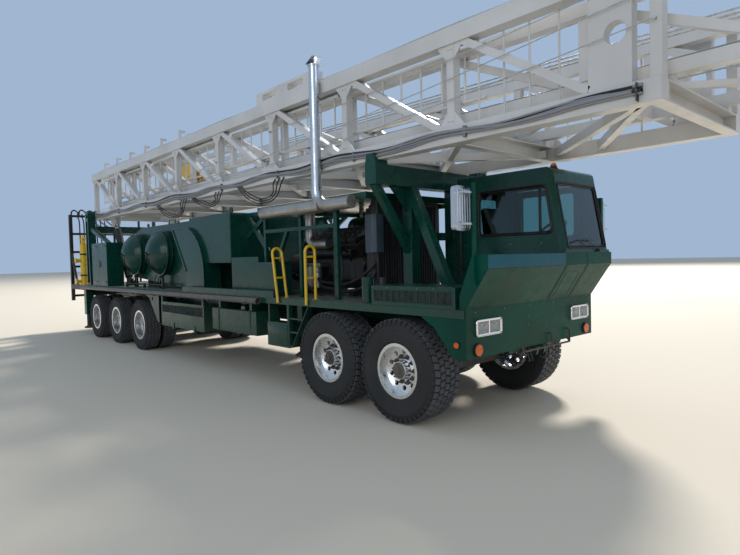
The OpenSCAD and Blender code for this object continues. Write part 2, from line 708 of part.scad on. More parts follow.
// Bell housing, gearbox, the shaft behind it and the box that takes the drive below the deck
module gearbox(z) {
    translate([engine_x[0] + 1, 0, z]) rotate([0, -90, 0]) rotate_extrude()
        polygon([[0, 0], [330, 0], [330, 70], [260, 190], [230, 520],
                 [170, 560], [80, 580], [80, 780], [0, 780]]);
    block([-4750, -3730], [-480, 480], [deck_z, 1700]);
    block(drop_box_x, [-180, 180], [drop_box_z, deck_z - plate_t]);
}

module radiator() {
    y = [-640, 500];
    z = [1310, 2520];
    fan_y = (y[0] + y[1]) / 2;
    fan_z = 1900;
    fan_r = 450;
    block([-1000, -840], [y[0] - 20, y[1] + 20], [deck_z, z[0]]);
    difference() {
        block([-980, -860], y, z);
        block([-871, -859], [y[0] + 60, y[1] - 60], [z[0] + 60, z[1] - 60]);
    }
    difference() {
        block([-1110, -980], [y[0] + 30, y[1] - 30], [fan_z - fan_r - 60, fan_z + fan_r + 60]);
        rod([-1111, fan_y, fan_z], [-1000, fan_y, fan_z], fan_r + 15);
    }
    translate([-1060, fan_y, fan_z]) {
        rotate([0, 90, 0]) cylinder(h = 80, r = 90);
        for (i = [0:7]) rotate([i * 45, 0, 0]) rotate([0, 0, 30]) block([-8, 8], [-55, 55], [60, fan_r]);
    }
    rod([engine_x[1] - 10, fan_y, fan_z], [-1060, fan_y, fan_z], 60);
    block([-965, -760], [y[0] - 120, y[0]], [1845, 2315]);
}

module engine_canopy() at_axle() color(green) {
    x = [-3100, rest_x - 150];
    y = 1000;
    top = canopy_under_z + 20;
    rail_z = 2200;
    block(x, [-y, y], [canopy_under_z, top]);
    for (e = [x[0], x[1] - 20]) block([e, e + 20], [-y, y], [top - 80, top]);
    for (s = [-1, 1]) {
        edge = s > 0 ? [y - 20, y] : [-y, -y + 20];
        thin = s > 0 ? [y - 70, y - 20] : [-y + 20, -y + 70];
        block(x, edge, [top - 80, top]);
        block([-1325, -1250], thin, [deck_z, top]);
        block([-2975, -2925], thin, [s > 0 ? deck_z : front_cabinet_z, top]);
        block([-2080, -2030], thin, [deck_z, top]);
        block([-2950, -1300], thin, [rail_z - 25, rail_z + 25]);
        side_bar([-2560, 1900], [-2370, rail_z], 50, thin);
        block([-2585, -2535], thin, [s > 0 ? deck_z : front_cabinet_z, 1920]);
    }
}

// Silencer under the canopy's edge, the main stack with its rain cap and a shorter downpipe
module exhaust() at_axle() color(metal) {
    y = -1085;
    muffler_z = 2450;
    bend_r = 200;
    rod([-2800, y, muffler_z], [-1420, y, muffler_z], 85);
    rod([stack_x, y, muffler_z + bend_r], [stack_x, y, 4230], 65);
    rod([stack_x, y, 4210], [stack_x, y, 4225], 76);
    translate([stack_x + bend_r, y, muffler_z + bend_r]) rotate([-90, 0, 0]) rotate([0, 0, 90])
        rotate_extrude(angle = 90) translate([bend_r, 0]) circle(72);
    rod([stack_x + bend_r, y, muffler_z], [-830, y, muffler_z], 80);
    rod([-980, y, muffler_z], [-980, -1000 - seat_gap, muffler_z], 40);
    side_bar([stack_x - 70, 4240], [stack_x + 85, 4310], 10, [y - 75, y + 75]);
    block([stack_x - 76, stack_x - 60], [y - 20, y + 20], [4150, 4245]);
    rod([-2110, -760, 2110], [-2110, -760, canopy_under_z - seat_gap], 70);
    translate([-1980, -760, 2110]) rotate([-90, 0, 0]) rotate([0, 0, 90])
        rotate_extrude(angle = 90) translate([130, 0]) circle(70);
    rod([-1980, -760, 1980], [-1700, -760, 1980], 62);
}

// Housing of the drums with their guards, the wider hood ahead of it and the chain guards
module drawworks() at_axle() color(green) {
    hood_y = 1040;
    hood_z = 2560;
    hood_rear_x = -5370;
    hood_front_x = -3870;
    housing_y = 780;
    front_z = 1755;
    side_plate([[-8790, 1465], [-6200, deck_z], [hood_rear_x + 20, deck_z], [hood_rear_x + 20, hood_z],
                [-8400, hood_z], [-8700, 2480], [-8790, 2300]], [-housing_y, housing_y]);
    side_plate([[hood_rear_x, deck_z], [-4850, deck_z], [-4850, front_z], [hood_front_x, front_z],
                [hood_front_x, hood_z - 30], [hood_front_x - 30, hood_z], [hood_rear_x, hood_z]],
               [-hood_y, hood_y]);
    block([-8600, -6700], [-600, 600], [deck_z, 1500]);
    for (x = drum_places) both_sides() drum_guard(x);
    both_sides() chain_guard([housing_y - 10, hood_y + 50]);
    for (p = [[-3780, 2500, -3160, 1900], [-3160, 2500, -3780, 2150]])
        both_sides() side_bar([p[0], p[1]], [p[2], p[3]], 70, [760, 800]);
    both_sides() block([hood_front_x, -3100], [760, 800], [2480, 2540]);
}

// Solid of a guard's barrel and dome about the drum's axis, with the dome lowered by a depth
module guard_solid(x, depth) {
    dome_r = (drum_guard_r * drum_guard_r + drum_dome_h * drum_dome_h) / (2 * drum_dome_h);
    dome_a = asin(drum_guard_r / dome_r);
    dome_c = drum_guard_y + drum_dome_h - dome_r - depth;
    translate([x, 0, drum_z]) rotate([-90, 0, 0]) rotate_extrude()
        polygon(concat([[0, 0], [drum_guard_r, 0]],
                       [for (a = [1:-0.125:0])
                            [0, dome_c] + dome_r * [sin(dome_a * a), cos(dome_a * a)]]));
}

// Round guard over a drum's brake end: barrel, deep dome and an upright recess in it
module drum_guard(x) {
    difference() {
        guard_solid(x, 0);
        difference() {
            side_plate(rounded(box_outline([x - 115, x + 115], [drum_z - 370, drum_z + 30]), 50),
                       [drum_guard_y + 20, drum_guard_y + 300]);
            guard_solid(x, 25);
        }
    }
    leg_top_z = drum_z - drum_guard_r + 20;
    for (s = [-1, 1])
        side_plate([[x + s * 40 - 20, leg_top_z], [x + s * 40 + 20, leg_top_z],
                    [x + s * 60 + 20, deck_z], [x + s * 60 - 20, deck_z]],
                   [drum_guard_y - 60, drum_guard_y - 20]);
}

// Guard over the chain drive, proud of the hood: a leaning rear edge, a round front corner and a raised rim
module chain_guard(y) {
    c = [-5550, 1600];
    r = 800;
    rim = 35;
    rear = [[-5500, deck_z], [-5450, 1620], [-6000, c[1] + r]];
    arc = [for (a = [90:-10:0]) c + r * [cos(a), sin(a)]];
    edge = concat(rear, arc, [[c[0] + r, deck_z]]);
    side_plate(edge, y);
    for (i = [1:len(edge) - 2]) side_bar(edge[i], edge[i + 1], rim, [y[1] - 1, y[1] + 15]);
}

cabinet_x = [-10500, -9400];
cabinet_y = [-1210, -860];
cabinet_z = [deck_z, 2280];
cabinet_wall = 20;

module tool_cabinet() at_axle() color(green) {
    difference() {
        block(cabinet_x, cabinet_y, cabinet_z);
        block([cabinet_x[0] + cabinet_wall, cabinet_x[1] - cabinet_wall],
              [cabinet_y[0] - 1, cabinet_y[1] - cabinet_wall],
              [cabinet_z[0] + cabinet_wall, cabinet_z[1] - cabinet_wall]);
    }
    for (end = [0, 1]) hinge_lugs(end);
    block(cabinet_x, [-cabinet_y[1], -cabinet_y[0]], cabinet_z);
}

// Vertical hinge beside the cabinet's front: end 0 is at the rear, 1 at the front
leaf_hinge_r = 8;
leaf_pin_r = 4;
leaf_hinge_out = 10;
leaf_hinge_z = [for (z = [200, 780]) deck_z + z];

function leaf_axis(end) =
    [cabinet_x[end] + (end == 1 ? leaf_hinge_out : -leaf_hinge_out), cabinet_y[0] - 11];

module hinge_lugs(end) {
    a = leaf_axis(end);
    for (z = leaf_hinge_z) {
        for (dz = [-30, 22]) {
            translate([a[0], a[1], z + dz]) cylinder(h = 8, r = leaf_hinge_r);
            block([min(a[0], cabinet_x[end]), max(a[0], cabinet_x[end])], [a[1], cabinet_y[0] + 20],
                  [z + dz, z + dz + 8]);
        }
        translate([a[0], a[1], z - 30]) cylinder(h = 60, r = leaf_pin_r);
    }
}

// One leaf of the tool cabinet: edge is the hinged side, at the front or the rear
module cabinet_door(front) at_axle() color(green) {
    mid = (cabinet_x[0] + cabinet_x[1]) / 2;
    end = front ? 1 : 0;
    x = front ? [mid + 3, cabinet_x[1] - 3] : [cabinet_x[0] + 3, mid - 3];
    a = leaf_axis(end);
    block(x, [cabinet_y[0] - 22.3, cabinet_y[0] - seat_gap], [cabinet_z[0] + 8, cabinet_z[1]]);
    for (z = leaf_hinge_z) difference() {
        union() {
            translate([a[0], a[1], z - 21.5]) cylinder(h = 43, r = leaf_hinge_r);
            block([min(a[0], x[end]), max(a[0], x[end])], [a[1] - 4, a[1] + 4], [z - 21.5, z + 21.5]);
        }
        translate([a[0], a[1], z - 30]) cylinder(h = 60, r = leaf_pin_r + run_gap);
    }
}

module side_boxes() at_axle() color(green) {
    grille_box([-350, 830], [-nose_y, -760], [deck_z, 1475], [1305, 1428]);
    translate([-560, -1100, deck_z]) cylinder(h = 300, r = 72);
    translate([-420, -1000, deck_z]) cylinder(h = 290, r = 50);
    both_sides() {
        grille_box([-6270, -4490], [deck_y - 370, deck_y - 10], [600, 1050], [855, 1000], true);
        for (x = [-6230, -4530]) block([x - 25, x + 25], [deck_y - 90, deck_y - 10], [1040, deck_under_z]);
        block([-6230, -4530], [deck_y - 365, deck_y - 335], [1040, deck_under_z]);
        for (x = [-5725, -4855]) box_hook(x);
        tank();
        for (x = [-2490, -2030]) block([x - 15, x + 15], [1080, deck_y - 20], [900, deck_under_z]);
        block([-2520, -1998], [1060, deck_y - 10], [600, 930]);
        jack_beams();
        wing_plate();
        boarding_ladder();
    }
}

// Box with a barred recess in its outer face; the outer face is the one at y[1] when outward is set
module grille_box(x, y, z, band, outward = false) {
    depth = 25;
    edge = 40;
    face = outward ? [y[1] - depth, y[1] + 1] : [y[0] - 1, y[0] + depth];
    bar = outward ? [y[1] - depth, y[1] - 6] : [y[0] + 6, y[0] + depth];
    bars = floor((x[1] - x[0] - 2 * edge) / grille_pitch);
    difference() {
        block(x, y, z);
        block([x[0] + edge, x[1] - edge], face, band);
    }
    for (i = [1:bars - 1]) let (p = x[0] + edge + i * grille_pitch) block([p - 6, p + 6], bar, band);
}

// Hook on the lower edge of a side box
module box_hook(x) translate([x, deck_y - 10, 620]) {
    block([-25, 25], [0, 12], [-60, 60]);
    translate([0, 12, -40]) rotate([0, 90, 0]) rotate([0, 0, -90])
        rotate_extrude(angle = 180) translate([30, 0]) circle(9);
}

// Square tank under the deck in two straps
module tank() {
    x = [-4200, -2840];
    y = [820, deck_y - 20];
    z = [685, 1040];
    cross_plate(rounded(box_outline(y, z), 15), x);
    for (p = [-3980, -3020]) {
        cross_plate(rounded(box_outline([y[0] - 6, y[1] + 6], [z[0] - 6, z[1] + 6]), 21), [p - 20, p + 20]);
        block([p - 30, p + 30], [y[0] + 40, y[1] - 20], [z[1], deck_under_z]);
    }
}

// Beams that carry the jack sleeves on the frame, and the sleeves
module jack_beams() {
    for (jack = [[front_jack_x, front_jack_y], [rear_jack_x, rear_jack_y]])
        block([jack[0] - 50, jack[0] + 50], [rail_y, jack[1] - jack_r - 25],
              [deck_under_z - 180, deck_under_z - 60]);
    jack_sleeve(front_jack_x, front_jack_y, [620, deck_under_z]);
    jack_sleeve(rear_jack_x, rear_jack_y, [500, deck_under_z]);
}

// Gusset and mud flap ahead of the first driving wheel
module wing_plate() {
    difference() {
        side_plate([[-7180, deck_under_z], [-6390, deck_under_z], [-6390, 640],
                    [-6460, 640], [-6860, 1090]], [deck_y - 20, deck_y - 10]);
        pin(-6700, 1080, 35, [deck_y - 21, deck_y - 9]);
    }
    block([-6410, -6390], [640, deck_y - 10], [640, deck_under_z]);
}

// Ladder under the deck that narrows towards the ground
module boarding_ladder() {
    y = [deck_y - 60, deck_y];
    foot_z = 620;
    rear_x = -1975;
    top_x = -1540;
    foot_x = -1915;
    side_bar([rear_x, deck_under_z], [rear_x, foot_z], 12, y);
    side_bar([top_x, deck_under_z - 4], [foot_x, foot_z], 12, y);
    for (z = [foot_z + 10, 820, 1000])
        block([rear_x, top_x + (foot_x - top_x) * (deck_under_z - z) / (deck_under_z - foot_z)],
              [y[0] + 5, y[1] - 5], [z - 10, z + 10]);
}

module handrails() at_axle() color(yellow) {
    both_sides() {
        translate([-2200, 0, 0]) boarding_rail(-9);
        translate([-1540, 0, 0]) boarding_rail(0);
    }
    yellow_cylinder();
}

// Narrow rail beside the ladder: two legs, a round top and rungs; the outer leg reaches below the deck
module boarding_rail(lean) {
    gap = 150;
    top_z = 610;
    outer_y = deck_y + rail_tube_r + seat_gap;
    translate([0, outer_y - gap, deck_z]) {
        block([-30, 30], [-30, 30], [0, 8]);
        rotate([0, lean, 0]) {
            rod([0, gap, -60], [0, gap, top_z], rail_tube_r);
            rod([0, 0, 5], [0, 0, top_z], rail_tube_r);
            translate([0, gap / 2, top_z]) rotate([90, 0, 90])
                rotate_extrude(angle = 180) translate([gap / 2, 0]) circle(rail_tube_r);
            for (z = [280, top_z - 60]) rod([0, 0, z], [0, gap, z], rail_tube_r - 5);
        }
    }
}

// Upright cylinder at the right rear corner with two side ports
module yellow_cylinder() {
    x = deck_rear_x - 300;
    y = -1100;
    z = deck_z - plate_t;
    rod([x, y, z], [x, y, 2330], 85);
    rod([x, y, z], [x, y, z + 25], 110);
    rod([x, y, 2330], [x, y, 2450], 55);
    for (p = [1340, 1885]) {
        rod([x, y, p], [x, y - 210, p], 50);
        rod([x, y - 180, p], [x, y - 210, p], 70);
    }
}

module rear_stand() at_axle() color(green) {
    both_sides() {
        difference() {
            side_plate([[pivot_x - 130, deck_z], [pivot_x + 160, deck_z], [pivot_x + 110, 2300],
                        [pivot_x + 110, pivot_z + 90], [pivot_x + 70, pivot_z + 130],
                        [pivot_x - 70, pivot_z + 130], [pivot_x - 110, pivot_z + 90], [pivot_x - 110, 2300]],
                       [mast_y + 10, mast_y + 190]);
            side_plate([[pivot_x - 75, deck_z + 60], [pivot_x + 95, deck_z + 60], [pivot_x + 60, 2300],
                        [pivot_x + 60, pivot_z - 130], [pivot_x - 60, pivot_z - 130], [pivot_x - 60, 2300]],
                       [mast_y + 60, mast_y + 191]);
        }
        pin(pivot_x, pivot_z, pivot_r, [mast_y - 120, mast_y + 210]);
        side_plate([[pivot_x + 110, 2740], [pivot_x + 110, 2620], [cabinet_x[1] - 300, cabinet_z[1]],
                    [cabinet_x[1] - 200, cabinet_z[1]]], [mast_y + 40, mast_y + 150]);
        for (y = [ram_y - 60, ram_y + 36])
            side_plate(rounded([[ram_foot_x - 110, deck_z], [ram_foot_x + 110, deck_z],
                                [ram_foot_x + 60, ram_foot_z + 60], [ram_foot_x - 60, ram_foot_z + 60]], 8),
                       [y, y + 24]);
        pin(ram_foot_x, ram_foot_z, ram_pin_r, [ram_y - 60, ram_y + 60]);
    }
    block([pivot_x - 90, pivot_x + 90], [-mast_y - 10, mast_y + 10], [2560, 2740]);
}

// Platform behind the deck with a tall frame across its rear edge
module rear_platform() at_axle() color(black) {
    rear_x = deck_rear_x - 1300;
    tube = 80;
    side_y = [1100, 1100 + tube];
    both_sides() {
        block([rear_x, rear_x + tube], side_y, [800, 3150]);
        block([rear_x + tube, deck_rear_x], side_y, [deck_under_z - 60, deck_z - 40]);
        side_bar([rear_x + tube - 10, 2080], [rear_x + 520, deck_z - 40], 50,
                 [side_y[0] + 15, side_y[1] - 15]);
    }
    block([rear_x, deck_rear_x], [-side_y[1], side_y[1]], [deck_z - 40, deck_z - plate_t]);
    for (z = [900, 1700, 2100, 2600, 3090])
        block([rear_x, rear_x + tube - 20], [-side_y[0], side_y[0]], [z, z + 60]);
    for (y = [-700, 0, 700]) block([rear_x + 10, rear_x + 60], [y - 25, y + 25], [deck_z - 40, 3100]);
}

// Square jack housings hang from the deck; each leg runs inside one
module jack_sleeve(x, y, z) difference() {
    block([x - jack_r - 25, x + jack_r + 25], [y - jack_r - 25, y + jack_r + 25], z);
    translate([x, y, z[0] - 1]) cylinder(h = z[1] - z[0] + 2, r = jack_r + seat_gap);
}

module jack_leg(x, y, foot_z) at_axle() color(black) {
    translate([x, y, foot_z]) cylinder(h = jack_top_z - foot_z, r = jack_r);
    translate([x, y, foot_z]) rotate_extrude()
        polygon([[0, 0], [130, 0], [130, 20], [jack_r + 10, 60], [0, 60]]);
}

module ram_barrels() at_axle() color(black) both_sides()
    translate([ram_foot_x, ram_y, ram_foot_z]) rotate([0, -ram_lean, 0]) difference() {
        union() {
            rotate([90, 0, 0]) cylinder(h = 70, r = 70, center = true);
            cylinder(h = 115, r = 34);
            translate([0, 0, 110]) cylinder(h = ram_length - 270, r = ram_r);
        }
        translate([0, 0, 140]) cylinder(h = ram_length, r = ram_rod_r + run_gap);
        rotate([90, 0, 0]) cylinder(h = 80, r = ram_pin_r + run_gap, center = true);
    }

module ram_rods() at_axle() color(metal) both_sides()
    translate([ram_foot_x, ram_y, ram_foot_z]) rotate([0, -ram_lean, 0]) {
        translate([0, 0, 150]) cylinder(h = ram_length - 150 - 30, r = ram_rod_r);
        translate([0, 0, ram_length]) rotate([90, 0, 0]) cylinder(h = 60, r = 60, center = true);
    }

// One side frame of a mast section, in X and Z
module side_frame(x, z, posts, chord, y, inner_y) {
    for (c = [z[0], z[1] - chord]) block(x, y, [c, c + chord]);
    for (p = posts) block([p - lacing_w / 2, p + lacing_w / 2], inner_y, [z[0] + chord, z[1] - chord]);
    for (i = [0:len(posts) - 2])
        side_bar([posts[i] + 20, z[1] - chord / 2], [posts[i + 1] - 20, z[0] + chord / 2], 75, inner_y);
}

lower_y = [mast_y - chord_w, mast_y];
lower_lacing_y = [mast_y - chord_w + 30, mast_y - 20];

module mast_lower_sides() at_axle() color(white) {
    both_sides() difference() {
        union() {
            side_frame([mast_rear_x, mast_front_x], mast_span_z, post_places, chord_h,
                       lower_y, lower_lacing_y);
            side_plate(box_outline([2030, 2380], lacing_z), lower_lacing_y);
            block([mast_front_x - 90, mast_front_x], lower_lacing_y, lacing_z);
            for (p = post_places) post_gussets(p);
        }
        pin(2250, mast_z + 593, 88, [0, mast_y + 1]);
        pin(pivot_x, pivot_z, pivot_r + run_gap, [0, mast_y + 1]);
    }
    mast_ladder();
    guide_channel();
}

// Plates in the corners between a post and the chords
module post_gussets(p) {
    y = [lower_lacing_y[1] - 15, lower_lacing_y[1] - 3];
    x = [max(p - 170, mast_rear_x), min(p + 170, mast_front_x)];
    for (s = [0, 1]) {
        edge = lacing_z[s] + (2 * s - 1) * 5;
        tip = lacing_z[s] - (2 * s - 1) * 150;
        side_plate([[x[0], edge], [x[1], edge], [p + 45, tip], [p - 45, tip]], y);
    }
}

// Ladder along the inside of the right frame, on a stub from each post
module mast_ladder() {
    y = -mast_y + chord_w + 50;
    z = [mast_z + 430, mast_z + 960];
    x = [post_places[0] + 150, post_places[7] + 300];
    for (h = z) rod([x[0], y, h], [x[1], y, h], 17);
    for (i = [0:floor((x[1] - x[0]) / ladder_pitch) - 1])
        rod([x[0] + 80 + i * ladder_pitch, y, z[0]], [x[0] + 80 + i * ladder_pitch, y, z[1]], 12);
    for (i = [1:7]) for (h = z)
        block([post_places[i] - 15, post_places[i] + 15], [-lower_lacing_y[0] - 10, y], [h - 15, h + 15]);
}

// Channel on top of the right frame with two long holes
module guide_channel() difference() {
    block([-3030, -1630], [-lower_y[1], -lower_y[0]], [mast_top_z, mast_top_z + 170]);
    for (x = [-2870, -2230])
        side_plate(rounded(box_outline([x, x + 380], [mast_top_z + 40, mast_top_z + 130]), 42),
                   [-mast_y - 1, -mast_y + chord_w + 1]);
}

module mast_lower_floor() at_axle() color(white) {
    inner = mast_y - chord_w;
    slide_y = upper_y - upper_chord / 2;
    for (x = concat(post_places, [mast_front_x - 60])) {
        side_plate(channel_outline([x - 60, x + 60], [mast_z, mast_z + chord_h], 14), [-inner, inner]);
        both_sides()
            block([x - 50, x + 50], [slide_y - 50, slide_y + 50], [mast_z + chord_h, upper_z - seat_gap]);
    }
    for (i = [1:6]) for (s = [-1, 1])
        floor_bar([post_places[i], s * (inner - 40)], [post_places[i + 1], -s * (inner - 40)], 70,
                  [mast_z + 40, mast_z + 130]);
    both_sides() for (y = [ram_y - 70, ram_y + 50]) {
        block([post_places[0] + 60, post_places[1] - 60], [y, y + 20], [mast_z + 20, mast_z + 120]);
        side_plate([[ram_head_x - 180, mast_z + 20], [ram_head_x + 180, mast_z + 20],
                    [ram_head_x + 70, ram_head_z - 60], [ram_head_x - 70, ram_head_z - 60]], [y, y + 20]);
    }
}

upper_posts = [for (i = [0:10]) upper_rear_x + 80 + i * (upper_front_x - upper_rear_x - 160) / 10];

module mast_upper_sides() at_axle() color(white) both_sides() {
    side_frame([upper_rear_x, upper_front_x], [upper_z, upper_top_z], upper_posts, upper_chord,
               [upper_y - upper_chord, upper_y], [upper_y - upper_chord + 15, upper_y - 15]);
    difference() {
        side_plate([[board_hinge_x - 150, upper_top_z], [board_hinge_x + 150, upper_top_z],
                    [board_hinge_x + 60, board_z + 90], [board_hinge_x - 60, board_z + 90]],
                   [upper_y - upper_chord, upper_y - 60]);
        pin(board_hinge_x, board_z + 50, 20 + run_gap, [0, mast_y]);
    }
}

module mast_upper_floor() at_axle() color(white) {
    inner = upper_y - upper_chord;
    for (x = upper_posts) block([x - 50, x + 50], [-inner, inner], [upper_z, upper_z + upper_chord]);
    for (i = [0:9])
        floor_bar([upper_posts[i], (i % 2 * 2 - 1) * (inner - 30)],
                  [upper_posts[i + 1], (1 - i % 2 * 2) * (inner - 30)], 60, [upper_z + 20, upper_z + 80]);
    crown();
}

// Crown: two cheek plates, cross beams and a cluster of sheaves
module crown() {
    inner = upper_y - upper_chord;
    shaft_x = (upper_front_x + crown_x) / 2;
    shaft_z = upper_z + 380;
    both_sides() difference() {
        side_plate([[upper_front_x, upper_z], [crown_x - 120, upper_z + 60], [crown_x, upper_z + 200],
                    [crown_x, upper_top_z - 160], [crown_x - 100, upper_top_z - 60],
                    [upper_front_x, upper_top_z]], [inner, inner + 30]);
        side_plate(rounded(box_outline([upper_front_x + 40, shaft_x - 110],
                                       [upper_z + 250, upper_z + 530]), 30), [inner - 1, inner + 31]);
    }
    for (z = [upper_z + 220, upper_top_z - 300])
        block([crown_x - 60, crown_x], [-inner, inner], [z, z + 100]);
    block([upper_front_x, crown_x - 60], [-inner, -inner + 60], [upper_z + 220, upper_z + 260]);
    pin(shaft_x, shaft_z, 50, [-inner, inner]);
    for (i = [-2:2]) sheave(shaft_x, i * 110, shaft_z, 200);
}

// Grooved sheave about Y
module sheave(x, y, z, r) translate([x, y, z]) rotate([90, 0, 0]) rotate_extrude()
    polygon([[0, -30], [80, -30], [80, -14], [r - 50, -14], [r, -30], [r, -20], [r - 22, 0],
             [r, 20], [r, 30], [r - 50, 14], [80, 14], [80, 30], [0, 30]]);

module travelling_block() at_axle() color(yellow) {
    x = -7500;
    z = upper_z + upper_chord;
    shaft_z = z + 330;
    block([x - 420, x + 420], [-160, 160], [z, z + 60]);
    for (i = [-1:1]) sheave(x, i * 90, shaft_z, 265);
    for (y = [-160, 135])
        side_plate(rounded([[x - 420, z + 40], [x + 420, z + 40],
                            [x + 330, z + 640], [x - 330, z + 640]], 90), [y, y + 25]);
    pin(x, shaft_z, 45, [-160, 160]);
    for (s = [-1, 1]) rod([x + s * 360, -135, z + 520], [x + s * 360, 135, z + 520], 30);
}

module racking_board() at_axle() color(white) {
    board_y = upper_y - upper_chord - 10;
    rail_t = 60;
    both_sides() {
        block([board_end_x, board_hinge_x + 60], [board_y - rail_t, board_y], [board_z, board_z + 100]);
        pin(board_hinge_x, board_z + 50, 20, [board_y - rail_t, upper_y - 62]);
        for (i = [0:5]) let (x = board_end_x + 450 + i * 930) {
            block([x - 25, x + 25], [board_y - 40, board_y], [board_z + 100, board_z + 260]);
            block([x - 25, x + 25], [board_y - 120, board_y - 40], [board_z + 220, board_z + 260]);
        }
    }
    for (x = [board_end_x, board_end_x + 1500, board_end_x + 3000, board_hinge_x - 300])
        block([x, x + 80], [-board_y + rail_t, board_y - rail_t], [board_z, board_z + 100]);
}

// Fingers of the board: flat bars that leave slots for the tubes on both sides of an aisle
finger_pitch = 200;
fingers = 7;

module racking_fingers() at_axle() color(white) both_sides()
    for (i = [0:fingers - 1])
        block([board_end_x + 1650 + i * finger_pitch, board_end_x + 1700 + i * finger_pitch],
              [120, upper_y - upper_chord - 70 - seat_gap], [board_z + 20, board_z + 80]);

// Which axle, which side
module front_wheel_place(i, side) at_axle()
    wheel_at(front_axle_places[i], front_tyre_y, front_r, side) children();
module rear_wheel_place(i, side) at_axle() wheel_at(rear_axle_places[i], dual_y, rear_r, side) children();
module knuckle_place(i, side) at_axle()
    translate([front_axle_places[i], 0, 0]) mirror([0, side > 0 ? 0 : 1, 0]) children();

front_wheel_place(0, 1) front_tyre();  // front_tyre_1_left
front_wheel_place(0, -1) front_tyre();  // front_tyre_1_right
front_wheel_place(1, 1) front_tyre();  // front_tyre_2_left
front_wheel_place(1, -1) front_tyre();  // front_tyre_2_right
front_wheel_place(0, 1) front_rim();  // front_rim_1_left
front_wheel_place(0, -1) front_rim();  // front_rim_1_right
front_wheel_place(1, 1) front_rim();  // front_rim_2_left
front_wheel_place(1, -1) front_rim();  // front_rim_2_right
knuckle_place(0, 1) knuckle();  // knuckle_1_left
knuckle_place(0, -1) knuckle();  // knuckle_1_right
knuckle_place(1, 1) knuckle();  // knuckle_2_left
knuckle_place(1, -1) knuckle();  // knuckle_2_right
rear_wheel_place(0, 1) rear_tyres();  // rear_tyres_1_left
rear_wheel_place(0, -1) rear_tyres();  // rear_tyres_1_right
rear_wheel_place(1, 1) rear_tyres();  // rear_tyres_2_left
rear_wheel_place(1, -1) rear_tyres();  // rear_tyres_2_right
rear_wheel_place(2, 1) rear_tyres();  // rear_tyres_3_left
rear_wheel_place(2, -1) rear_tyres();  // rear_tyres_3_right
rear_wheel_place(0, 1) rear_rims();  // rear_rims_1_left
rear_wheel_place(0, -1) rear_rims();  // rear_rims_1_right
rear_wheel_place(1, 1) rear_rims();  // rear_rims_2_left
rear_wheel_place(1, -1) rear_rims();  // rear_rims_2_right
rear_wheel_place(2, 1) rear_rims();  // rear_rims_3_left
rear_wheel_place(2, -1) rear_rims();  // rear_rims_3_right
chassis_frame();
axles();
deck();
nose();
cab_shell();
cab_glass();
cab_interior();
cab_door();
door_glass();
lamps();
mirrors();
mast_rest();
engine();
engine_canopy();
exhaust();
drawworks();
tool_cabinet();
cabinet_door(true);  // cabinet_door_front
cabinet_door(false);  // cabinet_door_rear
side_boxes();
handrails();
rear_stand();
rear_platform();
jack_leg(front_jack_x, front_jack_y, front_foot_z);  // jack_leg_front_left
jack_leg(front_jack_x, -front_jack_y, front_foot_z);  // jack_leg_front_right
jack_leg(rear_jack_x, rear_jack_y, rear_foot_z);  // jack_leg_rear_left
jack_leg(rear_jack_x, -rear_jack_y, rear_foot_z);  // jack_leg_rear_right
ram_barrels();
ram_rods();
mast_lower_sides();
mast_lower_floor();
mast_upper_sides();
mast_upper_floor();
travelling_block();
racking_board();
racking_fingers();
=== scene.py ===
"""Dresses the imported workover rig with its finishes, tyres, glass, lamps, hoses, lines and small fittings.

Places are in metres, measured from the front axle: +X forwards, +Y to the driver's side, +Z up.
A finished piece is moved by FRONT_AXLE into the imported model's frame, whose zero is the rig's middle.
"""

import json
import logging
import math
from dataclasses import dataclass
from enum import Enum
from functools import partial
from typing import Any, Callable, Iterable, NamedTuple, Sequence

import bmesh
import bpy
from mathutils import Matrix, Vector

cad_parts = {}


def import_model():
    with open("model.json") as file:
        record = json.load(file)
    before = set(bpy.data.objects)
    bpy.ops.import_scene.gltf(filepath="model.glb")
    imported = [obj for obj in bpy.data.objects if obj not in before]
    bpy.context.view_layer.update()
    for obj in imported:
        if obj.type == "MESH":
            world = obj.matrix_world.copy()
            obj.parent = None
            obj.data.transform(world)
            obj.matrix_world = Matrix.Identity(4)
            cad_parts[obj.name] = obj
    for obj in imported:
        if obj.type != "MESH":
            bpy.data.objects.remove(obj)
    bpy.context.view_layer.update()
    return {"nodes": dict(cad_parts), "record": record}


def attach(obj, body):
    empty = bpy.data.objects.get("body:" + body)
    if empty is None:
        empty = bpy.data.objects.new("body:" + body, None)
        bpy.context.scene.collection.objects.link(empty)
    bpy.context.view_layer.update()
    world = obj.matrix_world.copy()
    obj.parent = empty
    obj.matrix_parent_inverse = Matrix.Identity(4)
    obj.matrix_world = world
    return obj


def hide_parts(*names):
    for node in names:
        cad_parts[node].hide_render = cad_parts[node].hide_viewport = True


Flat = tuple[float, float]
Point = tuple[float, float, float]

LOG = logging.getLogger("rig")
FRONT_AXLE = 3.6
MERGE_DISTANCE = 1e-5


class Side(Enum):
    """The two sides of the rig, as the sign of their Y."""

    RIGHT = -1
    LEFT = 1

    @property
    def word(self) -> str:
        """Returns the side's word in the names of nodes and bodies."""
        return self.name.lower()

    @property
    def out(self) -> Point:
        """Returns the direction outwards on this side."""
        return (0, self.value, 0)


class Slot(Enum):
    """The record's material slots."""

    GREEN = "green_enamel"
    WHITE = "white_enamel"
    YELLOW = "yellow_enamel"
    BLACK = "black_paint"
    METAL = "polished_metal"
    CHROME = "ram_chrome"
    RUBBER = "tyre_rubber"
    GLASS = "window_glass"
    TRIM = "cab_trim"
    LENS = "lamp_lens"


